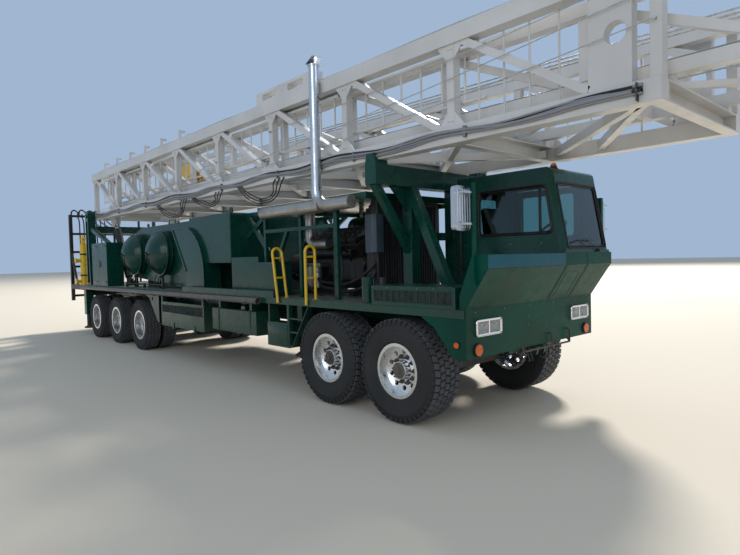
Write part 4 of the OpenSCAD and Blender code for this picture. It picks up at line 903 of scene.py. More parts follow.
@dataclass
class Wheels:
    """The ten wheels: tyres in place of the CAD tyres, with nuts, hub bolts and valves."""

    front_y: float = 1.04
    front_radius: float = 0.562
    front_width: float = 0.42
    rear_y: float = 0.95
    rear_radius: float = 0.511
    rear_width: float = 0.28
    twin_pitch: float = 0.32
    front_places: tuple[float, ...] = (0.0, -1.2)
    rear_places: tuple[float, ...] = (-7.47, -8.886, -10.302)
    front_nuts: Ring = Ring(0.143, 10, 0.056, 0.036, stud=0.05)
    rear_nuts: Ring = Ring(0.1475, 10, 0.021, 0.034, stud=0.04, stud_radius=0.009)
    cap_bolts: Ring = Ring(0.079, 6, 0.147, 0.014)
    shaft_bolts: Ring = Ring(0.074, 8, 0.171, 0.016)
    front_cap: tuple[Flat, ...] = ((0.0, 0.172), (0.028, 0.17), (0.034, 0.164), (0.036, 0.154))
    rear_cap: tuple[Flat, ...] = ((0.0, 0.196), (0.03, 0.193), (0.04, 0.179))
    valve: tuple[Flat, ...] = ((0.21, 0.06), (0.225, 0.1), (0.25, 0.13))

    def build(self) -> None:
        """Builds every wheel."""
        front = Tyre(self.front_radius, self.front_width, 46).shape()
        rear = Tyre(self.rear_radius, self.rear_width, 52, rows=4).shape()
        for side in Side:
            for i, x in enumerate(self.front_places, 1):
                name = f"{i}_{side.word}"
                middle = (x, side.value * self.front_y, self.front_radius)
                self.tyre(f"front_tyre_{name}", front, [middle], f"front_wheel_{name}")
                self.front_hub(name, middle, side)
            for i, x in enumerate(self.rear_places, 1):
                name = f"{i}_{side.word}"
                middle = (x, side.value * self.rear_y, self.rear_radius)
                twins = [(x, middle[1] + s * self.twin_pitch / 2, middle[2]) for s in (-1, 1)]
                self.tyre(f"rear_tyres_{name}", rear, twins, f"rear_wheel_{name}")
                self.rear_hub(name, middle, side)

    def tyre(self, node: str, shape: bpy.types.Mesh, middles: Sequence[Point], body: str) -> None:
        """Puts one tyre or a pair in place of its CAD node.

        Args:
            node: The CAD node.
            shape: The tyre's mesh.
            middles: Each tyre's middle.
            body: The wheel's body.
        """
        piece = Piece(f"treaded_{node}", TYRE_RUBBER, TREAD_RUBBER)
        for middle in middles:
            known = len(piece.mesh.verts)
            piece.mesh.from_mesh(shape)
            piece.mesh.verts.ensure_lookup_table()
            bmesh.ops.translate(piece.mesh, verts=piece.mesh.verts[known:], vec=middle)
        tyre = piece.put(body, angle=50.0)
        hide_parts(node)

    def front_hub(self, name: str, middle: Point, side: Side) -> None:
        """Adds a steered wheel's nuts, hub bolts, oil cap and valve.

        Args:
            name: The wheel's number and side.
            middle: The wheel's middle.
            side: The rig's side.
        """
        x, y, z = middle
        piece = Piece(f"front_hub_fittings_{name}", ZINC_STEEL, RED_CAP, CHASSIS_BLACK)
        self.front_nuts.fit(piece, middle, side, 2)
        self.cap_bolts.fit(piece, middle, side)
        piece.turned(self.front_cap, middle, side.out, 24, finish=2)
        filler = [(x + 0.012, y + side.value * out, z) for out in (0.166, 0.178)]
        piece.rod(*filler, 0.011, 12, finish=1)
        piece.line([(x + dx, y + side.value * out, z) for dx, out in self.valve], 0.005, curved=True)
        piece.put(f"front_wheel_{name}")

    def rear_hub(self, name: str, middle: Point, side: Side) -> None:
        """Adds a driving wheel's nuts and axle shaft bolts.

        Args:
            name: The wheel's number and side.
            middle: The middle between the twins.
            side: The rig's side.
        """
        piece = Piece(f"rear_hub_fittings_{name}", ZINC_STEEL, CHASSIS_BLACK)
        self.rear_nuts.fit(piece, middle, side)
        self.shaft_bolts.fit(piece, middle, side)
        piece.turned(self.rear_cap, middle, side.out, 24, finish=1)
        piece.put(f"rear_wheel_{name}")


@dataclass
class Cab:
    """Window rubbers, wiper, mirror glass, lamp lenses, handles and the seams of the raked sheet."""

    right_y: float = 0.2
    left_y: float = 1.24
    rear_x: float = -0.27
    # Points of the cab's front as distance ahead and height
    sill: Flat = (1.185, 1.785)
    roof: Flat = (1.01, 2.735)
    nose: Flat = (0.953, 1.27)
    brow: Flat = (1.21, 1.65)
    nose_bottom: float = 0.79
    skin_y: float = 1.2405
    # Windows: the right one outside and inside, the screen, the back one and the door's
    side_pane: tuple[Flat, ...] = ((0.05, 2.005), (1.04, 2.005), (0.96, 2.545), (0.05, 2.545))
    side_trim: tuple[Flat, ...] = ((0.07, 2.025), (1.02, 2.025), (0.945, 2.525), (0.07, 2.525))
    screen_pane: tuple[Flat, Flat] = ((0.275, 1.835), (1.165, 2.57))
    back_pane: tuple[Flat, Flat] = ((0.4, 2.05), (1.04, 2.52))
    door_pane: tuple[Flat, Flat] = ((0.01, 2.0), (0.75, 2.54))
    bend: float = 0.05
    seal: float = 0.01
    lamp_y: float = 0.905
    lamp_x: float = 0.978
    # Rims as radius and distance out: of the amber lamps in front and at the side, and of the beacon
    front_rim: tuple[Flat, ...] = ((0.054, 0.0), (0.066, 0.0), (0.066, 0.016), (0.056, 0.02), (0.054, 0.0))
    side_rim: tuple[Flat, ...] = ((0.028, 0.0), (0.037, 0.0), (0.037, 0.009), (0.028, 0.012), (0.028, 0.0))
    beacon_rim: tuple[Flat, ...] = ((0.038, 0.0), (0.05, 0.0), (0.05, 0.01), (0.038, 0.014), (0.038, 0.0))
    mirror_y: tuple[float, float] = (1.26, 1.45)
    mirror_z: tuple[float, float] = (2.02, 2.395)
    guard_y: tuple[float, float] = (-0.3, 0.64)

    def screen(self, y: float, z: float, out: float = 0.0) -> Point:
        """Returns a point on the windscreen's slope, or a little way ahead of it."""
        share = (z - self.sill[1]) / (self.roof[1] - self.sill[1])
        return (self.sill[0] - (self.sill[0] - self.roof[0]) * share + out, y, z)

    def raked(self, y: float, share: float, out: float = 0.0005) -> Point:
        """Places a point on the raked sheet below the windscreen.

        Args:
            y: Distance to the driver's side.
            share: Share of the way up the sheet.
            out: Distance out from the sheet.

        Returns:
            The point.
        """
        run, rise = self.brow[0] - self.nose[0], self.brow[1] - self.nose[1]
        proud = out / math.hypot(run, rise)
        return (self.nose[0] + run * share + proud * rise, y, self.nose[1] + rise * share - proud * run)

    def build(self) -> None:
        """Builds the cab's fittings."""
        self.seals()
        self.wiper()
        self.lamps()
        self.mirrors()
        self.sheet_metal()
        self.bumper_guard()
        self.handles()
        self.inside()

    def seals(self) -> None:
        """Runs a rubber round each window."""
        piece = Piece("cab_window_seals", SEAL_RUBBER, CHASSIS_BLACK)
        piece.hoop([(x, self.right_y - 0.003, z) for x, z in self.side_pane], 0.06, self.seal)
        piece.hoop([(x, self.right_y + 0.008, z) for x, z in self.side_trim], self.bend, self.seal * 0.8)
        piece.box((0.862, self.right_y + 0.006, 2.015), (0.89, self.right_y + 0.026, 2.535), 0.003, finish=1)
        (left, low), (right, high) = self.screen_pane
        for grow, out in ((0.0, 0.003), (0.02, -0.008)):
            corners = rectangle((left + grow, low + grow), (right - grow, high - grow))
            piece.hoop([self.screen(y, z, out) for y, z in corners], self.bend, self.seal)
        back = [(self.rear_x - 0.002, y, z) for y, z in rectangle(*self.back_pane)]
        piece.hoop(back, self.bend, self.seal)
        piece.put("carrier")
        door = Piece("door_window_seal", SEAL_RUBBER)
        pane = [(x, self.left_y + 0.002, z) for x, z in rectangle(*self.door_pane)]
        door.hoop(pane, self.bend, self.seal)
        door.put("cab_door")

    def wiper(self) -> None:
        """Adds a slim wiper parked low on the windscreen."""
        piece = Piece("wiper", CHASSIS_BLACK, SEAL_RUBBER)
        y, z = 0.95, 1.81
        piece.rod(self.screen(y, z), self.screen(y, z, 0.035), 0.014, 14)
        arm = ((y, z, 0.03), (0.8, 1.87, 0.034), (0.62, 1.94, 0.024))
        blade = ((0.84, 1.92, 0.014), (0.62, 1.94, 0.02), (0.4, 1.9, 0.014))
        piece.line([self.screen(*p) for p in arm], 0.005)
        piece.line([self.screen(*p) for p in blade], 0.006, finish=1)
        piece.put("carrier")

    def lamps(self) -> None:
        """Adds the headlamps' clear lenses and the lamps' rims."""
        piece = Piece("headlamp_lenses", CLEAR_LENS)
        for side in Side:
            for inner in (-0.18, 0.01):
                y = side.value * self.lamp_y + inner
                piece.box((0.969, y + 0.004, 1.023), (0.981, y + 0.166, 1.138), 0.005)
        piece.put("carrier")
        rims = Piece("lamp_rims", HARD_CHROME, SEAL_RUBBER, ZINC_STEEL)
        for side in Side:
            middle = side.value * self.lamp_y
            loop = rectangle((middle - 0.205, 1.003), (middle + 0.205, 1.158))
            rims.hoop([(self.lamp_x, y, z) for y, z in loop], 0.03, 0.006)
            for y, z in rectangle((middle - 0.195, 1.013), (middle + 0.195, 1.148)):
                rims.hex_bolt((self.lamp_x, y, z), (1, 0, 0), 0.01, finish=2)
            rims.turned(self.front_rim, (0.953, side.value * 1.07, 0.87), (1, 0, 0), 32, finish=1)
            rims.turned(self.side_rim, (0.844, side.value * 1.24, 0.925), side.out, 28, finish=1)
        rims.turned(self.beacon_rim, (0.92, 0.44, 2.735), (0, 0, 1), 32, finish=1)
        rims.put("carrier")

    def mirrors(self) -> None:
        """Adds the mirrors' silvered glass, the flutes of their shells and the bolts of their arms."""
        piece = Piece("mirror_glass", HARD_CHROME, ZINC_STEEL, STACK_CHROME)
        near, far = self.mirror_y
        low, high = self.mirror_z
        for side in Side:
            piece.box((0.982, side.value * near, low), (0.9855, side.value * far, high), 0.001)
            for i in range(5):
                y = side.value * (near + 0.025 + 0.035 * i)
                piece.rod((1.026, y, low + 0.01), (1.026, y, high - 0.01), 0.006, 12, finish=2)
            for z in (2.077, 2.362):
                for y in (near + 0.025, 1.4):
                    piece.hex_bolt((1.03, side.value * y, z), (0, 0, 1), 0.014, finish=1)
        piece.put("carrier")

    def sheet_metal(self) -> None:
        """Adds the hatch's outline, the seams, the few fasteners of the nose and a sheet of painted sky
        reflection on the strip.
        """
        piece = Piece("nose_seams", CHASSIS_BLACK, ZINC_STEEL, CARRIER_GREEN, STRIP_SKY_REFLECTION_GREEN)
        for y, radius in ((0.2, 0.003), (0.228, 0.002), (0.665, 0.003), (0.7, 0.002)):
            piece.line([self.raked(y, 0.01), self.raked(y - 0.03, 0.99)], radius)
        hatch = [self.raked(y, share) for y, share in ((0.29, 0.08), (0.58, 0.08), (0.56, 0.8), (0.27, 0.8))]
        piece.hoop(hatch, 0.02, 0.0025)
        strip_x, strip_low, strip_high = 1.2102, 1.655, 1.78
        for y in (0.17, 0.64):
            piece.line([(strip_x, y, strip_low), (strip_x, y, strip_high)], 0.003)
        # A thin sheet over the shaded part of the strip, painted blue-green as a reflection of the sky
        piece.box((1.2098, -1.236, 1.656), (1.2112, 0.164, 1.781), finish=3)
        for x, y, z in ((0.9535, 1.235, 1.262), (1.21, 1.24, 1.652)):
            piece.line([(x, -y, z), (x, y, z)], 0.0025)
        for x, z in ((1.2, 1.652), (0.95, 1.27)):
            piece.line([(0.9, -self.skin_y, 1.262), (x, -self.skin_y, z)], 0.002)
        for y in (-1.1, -0.62, -0.15, 0.33, 0.8, 1.16):
            piece.hex_bolt((self.nose[0], y, 1.235), (1, 0, 0), 0.011, finish=1)
        for y in (-0.18, 0.0, 0.18):
            for z in (1.03, 1.12):
                piece.hex_bolt((self.nose[0], y, z), (1, 0, 0), 0.009, finish=1)
        for x in (0.0, 0.5, 0.9):
            piece.hex_bolt((x, self.right_y, 1.9), (0, -1, 0), 0.012, finish=1)
        piece.put("carrier")

    def bumper_guard(self) -> None:
        """Adds the black rod below the bumper with its two uprights."""
        piece = Piece("bumper_guard", CHASSIS_BLACK)
        low, root, front = self.nose_bottom - 0.03, 0.948, 0.99
        right, left = self.guard_y
        high = low + 0.04
        outline = ((root, right, high), (front, right, low), (front, left, low), (root, left, high))
        rounded = softened(outline, 0.02)
        # The rounds at the two root corners are left off, and straight returns reach the bumper
        corner = len(rounded) // len(outline)
        piece.line(rounded[corner:-corner], 0.011)
        for y in self.guard_y:
            piece.line([(root + 0.001, y, low + 0.042), (front - 0.005, y, low + 0.004)], 0.011)
        for y, top in ((0.63, 0.9), (0.25, 0.885)):
            piece.line([(front, y, low), (front, y, top)], 0.01)
            hook = [(front, y, top), (0.986, y - 0.02, top + 0.012), (0.956, y - 0.02, top + 0.012)]
            piece.line(hook, 0.008)
        piece.put("carrier")

    def handles(self) -> None:
        """Adds grab rails, the door's handle and its lock."""
        rails = Piece("cab_grab_rails", CHASSIS_BLACK)
        x = -0.18
        for y, out, top in ((1.24, 1.31, 2.3), (0.2, 0.14, 2.2)):
            rails.line([(x, y, 1.6), (x, out, 1.63), (x, out, top), (x, y, top + 0.03)], 0.012)
        rails.put("carrier")
        latch = Piece("door_handle", HARD_CHROME, CHASSIS_BLACK)
        latch.box((0.02, 1.238, 1.84), (0.19, 1.25, 1.9), 0.005, finish=1)
        grip = ((0.04, 1.246), (0.05, 1.28), (0.16, 1.28), (0.17, 1.246))
        latch.line([(x, y, 1.87) for x, y in grip], 0.008)
        latch.put("cab_door")

    def inside(self) -> None:
        """Adds the levers, the roof lining and the rear lining that show through the glass."""
        piece = Piece("cab_levers_and_lining", CAB_VINYL, HARD_CHROME)
        piece.box((-0.22, 0.25, 2.64), (0.88, 1.19, 2.69), 0.015)
        piece.box((-0.228, 0.245, 1.32), (-0.21, 1.195, 2.03), 0.004)
        for i, y in enumerate((0.42, 0.49, 0.56)):
            top = 1.86 + 0.03 * i
            piece.line([(0.5, y, 1.3), (0.52, y, top)], 0.008, finish=1)
            piece.ball((0.52, y, top + 0.02), 0.022)
        piece.put("carrier")


@dataclass
class Deck:
    """Fittings of the deck, the drawworks hood and the boxes below."""

    deck_z: float = 1.26
    drum_places: tuple[float, ...] = (-7.08, -8.51)
    drum_z: float = 1.975
    guard_y: float = 0.93
    dome_radius: float = 0.51224
    dome_centre: float = 0.66776
    # A guard's rim bead and a lifting eye, as radius and distance along the axis
    bead: tuple[Flat, ...] = (
        (0.437, -0.018), (0.456, -0.016), (0.46, -0.006), (0.456, 0.004), (0.437, 0.006),
    )
    eye: tuple[Flat, ...] = (
        (0.022, -0.009), (0.048, -0.009), (0.048, 0.009), (0.022, 0.009), (0.022, -0.009),
    )
    bolt_circle: float = 0.405
    recess: float = 0.025
    loop_low: float = -0.35
    loop_rise: float = 0.33
    hood_y: float = 1.04
    face_y: float = 1.24
    skin_y: float = 1.243
    cover_y: float = 1.246
    net_y: float = 1.236
    cabinet_ends: tuple[tuple[str, float, int], ...] = (("front", -9.9, 1), ("rear", -10.0, -1))
    linkage_y: float = 0.98
    linkage_z: float = 1.33
    # Brake lines from the rails to a wheel, as distance ahead, distance to the side and height
    driving_line: tuple[Point, ...] = (
        (0.3, 0.44, 0.93), (0.22, 0.55, 0.8), (0.1, 0.58, 0.62), (0.05, 0.6, 0.56),
    )
    steered_line: tuple[Point, ...] = (
        (0.28, 0.44, 0.92), (0.2, 0.6, 0.84), (0.08, 0.7, 0.7), (0.02, 0.76, 0.66),
    )

    def dome(self, x: float, dx: float, dz: float, side: Side, out: float = 0.0) -> Point:
        """Places a point on a guard's dome.

        Args:
            x: The drum's place.
            dx: Distance ahead of the dome's middle.
            dz: Distance above it.
            side: The rig's side.
            out: Distance out from the dome.

        Returns:
            The point.
        """
        reach = self.dome_radius + out
        y = self.dome_centre + math.sqrt(reach**2 - dx**2 - dz**2)
        return (x + dx, side.value * y, self.drum_z + dz)

    def build(self) -> None:
        """Builds the deck's fittings."""
        self.drum_guards()
        self.hood()
        self.cabinet()
        for side in Side:
            self.boxes(side)
        self.deck_box()
        self.lines_below()
        self.linkage()

    def drum_guards(self) -> None:
        """Adds each guard's rim beads and bolts, the black loop in its recess and the hoses below it."""
        piece = Piece("drum_guard_trim", CARRIER_GREEN, CHASSIS_BLACK, ZINC_STEEL, HOSE_RUBBER)
        for side in Side:
            s = side.value
            for x in self.drum_places:
                for y in (self.guard_y, self.guard_y - 0.09):
                    piece.turned(self.bead, (x, s * y, self.drum_z), side.out, 64)
                self.guard_bolts(piece, x, side)
                self.loop(piece, x, side)
                for dx in (0.02, 0.1):
                    hose = [
                        (x + dx, s * 0.9, self.drum_z - 0.43), (x + dx * 1.4, s * 0.97, 1.44),
                        (x + dx * 1.2 - 0.04, s * 0.96, 1.34), (x + dx - 0.06, s * 0.9, self.deck_z),
                    ]
                    piece.line(hose, 0.009, curved=True, finish=3)
        piece.put("carrier")

    def guard_bolts(self, piece: Piece, x: float, side: Side) -> None:
        """Bolts a dome's edge down, apart from where its recess opens.

        Args:
            piece: The piece it belongs to.
            x: The drum's place.
            side: The rig's side.
        """
        rise = math.sqrt(self.dome_radius**2 - self.bolt_circle**2)
        for i in range(12):
            angle = math.tau * (i + 0.5) / 12
            dx, dz = self.bolt_circle * math.cos(angle), self.bolt_circle * math.sin(angle)
            if abs(dx) > 0.13 or dz > 0:
                piece.hex_bolt(self.dome(x, dx, dz, side), (dx, side.value * rise, dz), 0.014, finish=2)

    def loop(self, piece: Piece, x: float, side: Side) -> None:
        """Adds the black loop that stands in a dome's recess, wider at its foot.

        Args:
            piece: The piece it belongs to.
            x: The drum's place.
            side: The rig's side.
        """
        points = []
        for hand in (-1, 1):
            for k in range(9):
                t = k / 8 if hand < 0 else 1 - k / 8
                dx, dz = hand * (0.05 - 0.022 * t), self.loop_low + self.loop_rise * t
                points.append(self.dome(x, dx, dz, side, 0.012 + 0.02 * t - self.recess))
        piece.line(points, 0.011, finish=1)
        for dx in (-0.028, 0.028):
            foot, head = (self.dome(x, dx, -0.02, side, out - self.recess) for out in (-0.004, 0.04))
            piece.rod(foot, head, 0.014, 12, finish=1)

    def hood(self) -> None:
        """Adds the hood's seams, bolts, lifting eyes and hand rails."""
        piece = Piece("hood_seams_and_eyes", CARRIER_GREEN, CHASSIS_BLACK, ZINC_STEEL)
        for side in Side:
            s = side.value
            y, seam_y = s * self.hood_y, s * (self.hood_y + 0.0005)
            piece.line([(-4.845, seam_y, 1.78), (-3.9, seam_y, 1.78)], 0.002, finish=1)
            piece.line([(-3.885, seam_y, 1.77), (-3.885, seam_y, 2.52)], 0.002, finish=1)
            for i in range(5):
                piece.hex_bolt((-5.34, y, 2.45 - 0.02 * i), side.out, 0.008, finish=2)
                piece.hex_bolt((-3.92, y, 1.86 + 0.15 * i), side.out, 0.012, finish=2)
            for i in range(8):
                piece.hex_bolt((-5.3 + 0.19 * i, y, 2.53), side.out, 0.011, finish=2)
            for x, out in ((-8.2, 0.7), (-3.95, 0.97)):
                piece.turned(self.eye, (x, s * out, 2.6), (0, 1, 0), 24)
            for x in (-4.6, -6.9):
                rail = ((-0.16, 2.555), (-0.15, 2.64), (0.15, 2.64), (0.16, 2.555))
                piece.line([(x + dx, s * 0.7, z) for dx, z in rail], 0.011)
        piece.put("carrier")

    def cabinet(self) -> None:
        """Adds a latch, a handle and ribs to each of the tool cabinet's doors."""
        grip = ((-1.236, 1.72), (-1.262, 1.74), (-1.262, 1.82), (-1.236, 1.84))
        for end, x, way in self.cabinet_ends:
            door = Piece(f"cabinet_latch_{end}", ZINC_STEEL, CHASSIS_BLACK, CARRIER_GREEN)
            door.box((x - 0.025, -self.skin_y, 1.7), (x + 0.025, -1.232, 1.86), 0.004, finish=1)
            door.line([(x, y, z) for y, z in grip], 0.006)
            for z in (1.36, 2.2):
                door.box(
                    (x + way * 0.06, -1.236, z - 0.02), (x + way * 0.46, -1.2318, z + 0.02), 0.002, finish=2
                )
            door.put(f"cabinet_door_{end}")

    def boxes(self, side: Side) -> None:
        """Adds the mesh, rivets, cover and plugs of the boxes below the deck on one side.

        Args:
            side: The rig's side.
        """
        s = side.value
        piece = Piece(f"side_box_hardware_{side.word}", ZINC_STEEL, CHASSIS_BLACK, CARRIER_GREEN, MESH_STEEL)
        piece.net((-6.23, s * self.net_y, 0.855), (1.7, 0, 0), (0, 0, 0.145), 3)
        face, skin, cover = s * self.face_y, s * self.skin_y, s * self.cover_y
        for z in (0.852, 1.003):
            piece.box((-6.24, face, z - 0.006), (-4.52, skin, z + 0.006), 0.001, finish=2)
        for i in range(8):
            for z in (1.028, 0.63):
                piece.hex_bolt((-6.22 + 0.24 * i, face, z), side.out, 0.01)
        piece.rod((-3.4, s * 1.21, 0.69), (-3.4, s * 1.21, 0.675), 0.02, 12)
        cap = [(0.0, 0.05), (0.045, 0.045), (0.05, 0.0), (0.0, 0.0)]
        piece.turned(cap, (-3.4, s * 1.1, 1.04), (0, 0, 1), 24)
        piece.box((-2.5, face, 0.62), (-2.02, cover, 0.91), 0.003, finish=2)
        for x in (-2.46, -2.06):
            for z in (0.65, 0.88):
                piece.hex_bolt((x, cover, z), side.out, 0.012)
        piece.put("carrier")

    def deck_box(self) -> None:
        """Adds the mesh and fasteners of the box on the deck beside the cab."""
        piece = Piece("deck_box_mesh", ZINC_STEEL, CHASSIS_BLACK, CARRIER_GREEN, MESH_STEEL)
        piece.net((-0.31, -self.net_y, 1.305), (1.1, 0, 0), (0, 0, 0.123), 3)
        for z in (1.302, 1.431):
            piece.box((-0.32, -self.skin_y, z - 0.005), (0.8, -self.face_y, z + 0.005), 0.001, finish=2)
        for i in range(6):
            piece.hex_bolt((-0.32 + 0.22 * i, -self.face_y, 1.455), Side.RIGHT.out, 0.01)
        piece.line([(x, -1.2405, 1.2625) for x in (-0.35, 0.83)], 0.002, finish=1)
        piece.put("carrier")

    def lines_below(self) -> None:
        """Runs brake and hydraulic lines along the rails and to the axles and the nose."""
        lines = Piece("brake_and_hydraulic_lines", HOSE_RUBBER, ZINC_STEEL)
        for side in Side:
            s = side.value
            for i, z in enumerate((0.87, 0.91, 0.95)):
                y = s * (0.437 + 0.002 * i)
                lines.line([(-11.0, y, z), (-2.0, y, z + 0.01), (0.7, y, z)], 0.007)
            for places, path in (
                (Wheels.rear_places, self.driving_line), (Wheels.front_places, self.steered_line)
            ):
                for x in places:
                    lines.line([(x + dx, s * y, z) for dx, y, z in path], 0.012, curved=True)
        for i, y in enumerate((-0.22, -0.15, 0.15, 0.22)):
            dip = 0.72 - 0.02 * (i % 2)
            path = [(0.93, y, 0.78), (0.965, y, dip), (0.955, y * 0.8, 0.64), (0.91, y * 0.7, 0.66)]
            lines.line(path, 0.011, curved=True)
            lines.rod((0.9, y, 0.785), (0.94, y, 0.775), 0.017, 12, finish=1)
        lines.put("carrier")

    def linkage(self) -> None:
        """Adds the brake linkage along the deck below the drum guards."""
        piece = Piece("drum_brake_linkage", CHASSIS_BLACK, ZINC_STEEL)
        for side in Side:
            s = side.value
            y, z = s * self.linkage_y, self.linkage_z
            piece.rod((-8.9, y, z), (-6.75, y, z), 0.013)
            for x in (-8.85, -7.8, -6.8):
                piece.box((x - 0.02, y - 0.025, self.deck_z), (x + 0.02, y + 0.025, z + 0.025), 0.004)
            for x in self.drum_places:
                piece.line([(x - 0.2, y, z), (x - 0.2, s * 0.95, 1.45), (x - 0.18, s * 0.91, 1.6)], 0.01)
        piece.put("carrier")


@dataclass
class EngineBay:
    """Hoses, filters, belts, bolts and pipes on the open engine."""

    front_x: float = -1.5
    rear_x: float = -2.95
    pitch: float = 0.215
    cylinders: int = 6
    bank_lean: float = 32.0
    cover_reach: float = 0.56
    crank_z: float = 1.64
    canopy_z: float = 2.54
    # Radiator fins: the first one's place, their spacing and number
    fin_y: float = -0.56
    fin_pitch: float = 0.045
    fins: int = 22
    # Pulleys as distance to the side, height and radius, and the belt round them
    pulleys: tuple[Point, ...] = ((0.0, 1.6, 0.11), (-0.28, 1.7, 0.06), (0.26, 1.7, 0.07))
    belt: tuple[Flat, ...] = (
        (-0.1, 1.53), (0.1, 1.53), (0.32, 1.68), (0.27, 1.765), (-0.28, 1.755), (-0.335, 1.68),
    )
    # Turned shapes as radius and distance along the axis
    oil_filter: tuple[Flat, ...] = ((0.0, -0.16), (0.062, -0.155), (0.066, 0.12), (0.05, 0.15), (0.0, 0.152))
    alternator: tuple[Flat, ...] = ((0.0, -0.14), (0.075, -0.14), (0.08, 0.1), (0.05, 0.14), (0.0, 0.14))
    cleaner: tuple[Flat, ...] = (
        (0.0, -0.3), (0.17, -0.29), (0.18, -0.27), (0.18, 0.26), (0.165, 0.29), (0.1, 0.31), (0.0, 0.31),
    )
    strap: tuple[Flat, ...] = ((0.179, -0.02), (0.186, -0.02), (0.186, 0.02), (0.179, 0.02))
    cleaner_y: float = 0.62
    cleaner_z: float = 2.26

    def build(self) -> None:
        """Builds the engine's fittings."""
        piece = Piece("engine_fittings", ZINC_STEEL, CHASSIS_BLACK, HOSE_RUBBER, CARRIER_GREEN, PIPE_GREY)
        for side in Side:
            self.bank(piece, side)
            self.filters(piece, side)
        self.front_drive(piece)
        self.hoses(piece)
        self.air_cleaner(piece)
        for i in range(self.fins):
            y = self.fin_y + self.fin_pitch * i
            piece.box((-0.872, y, 1.38), (-0.861, y + 0.006, 2.45), finish=1)
        piece.put("carrier")

    def bank(self, piece: Piece, side: Side) -> None:
        """Adds the cover bolts and intake pipes of one bank.

        Args:
            piece: The piece it belongs to.
            side: The rig's side.
        """
        s = side.value
        lean = math.radians(self.bank_lean)
        out = (0.0, s * math.sin(lean), math.cos(lean))
        for i in range(self.cylinders):
            x = self.rear_x + 0.19 + self.pitch * i
            cover = Vector((x, 0.0, self.crank_z)) + Vector(out) * self.cover_reach
            for dx in (-0.06, 0.06):
                piece.hex_bolt((cover.x + dx, cover.y, cover.z), out)
            pipe = [
                (x, cover.y - s * 0.06, cover.z + 0.01), (x, cover.y - s * 0.13, cover.z + 0.05),
                (x, s * 0.09, 2.08),
            ]
            piece.line(pipe, 0.02, curved=True, finish=4)

    def filters(self, piece: Piece, side: Side) -> None:
        """Adds two filters on a head beside the crankcase.

        Args:
            piece: The piece it belongs to.
            side: The rig's side.
        """
        s = side.value
        for dx, finish in ((0.45, 4 if side is Side.RIGHT else 0), (0.62, 0)):
            piece.turned(self.oil_filter, (self.rear_x + dx, s * 0.48, 1.52), (0, 0, 1), 28, finish)
        piece.box((self.rear_x + 0.36, s * 0.3, 1.66), (self.rear_x + 0.7, s * 0.5, 1.72), 0.01)

    def front_drive(self, piece: Piece) -> None:
        """Adds the pulleys, their belt and the alternator.

        Args:
            piece: The piece it belongs to.
        """
        for y, z, r in self.pulleys:
            groove = [(0.0, 0.06), (r, 0.06), (r * 0.82, 0.045), (r * 0.82, 0.02), (r, 0.005), (0.0, 0.005)]
            piece.turned(groove, (self.front_x, y, z), (1, 0, 0), 32, finish=1)
        piece.hoop([(self.front_x + 0.035, y, z) for y, z in self.belt], 0.06, 0.009, finish=2)
        piece.turned(self.alternator, (-1.7, 0.4, 1.7), (1, 0, 0), 28)

    def hoses(self, piece: Piece) -> None:
        """Adds the coolant hoses, the oil lines and the hoses behind the gearbox.

        Args:
            piece: The piece it belongs to.
        """
        for radius, *path in (
            (0.04, (-1.52, -0.2, 2.12), (-1.36, -0.26, 2.26), (-1.24, -0.4, 2.42), (-1.12, -0.45, 2.465),
             (-0.975, -0.45, 2.465)),
            (0.03, (-1.52, 0.2, 1.5), (-1.38, 0.34, 1.38), (-1.2, 0.4, 1.352), (-0.975, 0.4, 1.35)),
            (0.022, (-2.2, -0.32, 1.55), (-2.15, -0.55, 1.42), (-1.8, -0.62, 1.36), (-1.3, -0.68, 1.36),
             (-0.96, -0.69, 1.5), (-0.92, -0.635, 1.62)),
            (0.022, (-2.35, -0.32, 1.6), (-2.3, -0.5, 1.5), (-1.9, -0.58, 1.44), (-1.35, -0.7, 1.46),
             (-0.98, -0.7, 1.62), (-0.92, -0.635, 1.72)),
            (0.016, (-2.5, -0.32, 1.7), (-2.5, -0.62, 1.62), (-2.3, -0.68, 1.4), (-2.0, -0.66, 1.262)),
            (0.014, (-1.75, -0.32, 1.74), (-1.7, -0.52, 1.9), (-1.62, -0.6, 1.6), (-1.66, -0.62, 1.262)),
        ):
            piece.line(path, radius, curved=True, finish=2)
        for i in range(5):
            drop, out = 0.02 * i, 0.04 * i
            path = [
                (-3.05, -0.25 - 0.05 * i, 1.5 + drop), (-3.4, -0.5 - out, 1.5 + 0.05 * i),
                (-3.9, -0.52 - out * 0.7, 1.72 + drop), (-4.3, -0.44 - out * 0.5, 1.7),
            ]
            piece.line(path, 0.016, curved=True, finish=2)

    def air_cleaner(self, piece: Piece) -> None:
        """Adds the air cleaner with its straps and its pipe to the charge pipe.

        Args:
            piece: The piece it belongs to.
        """
        y, z = self.cleaner_y, self.cleaner_z
        piece.turned(self.cleaner, (-2.45, y, z), (1, 0, 0), 40, finish=3)
        for x in (-2.6, -2.3):
            piece.turned(self.strap, (x, y, z), (1, 0, 0), 40)
            piece.box((x - 0.02, y - 0.02, z + 0.17), (x + 0.02, y + 0.02, self.canopy_z + 0.002), 0.003)
        pipe = [(-2.16, y, z), (-1.95, 0.55, z), (-1.85, 0.35, 2.2), (-1.85, 0.1, 2.15)]
        piece.line(pipe, 0.06, curved=True, finish=2)


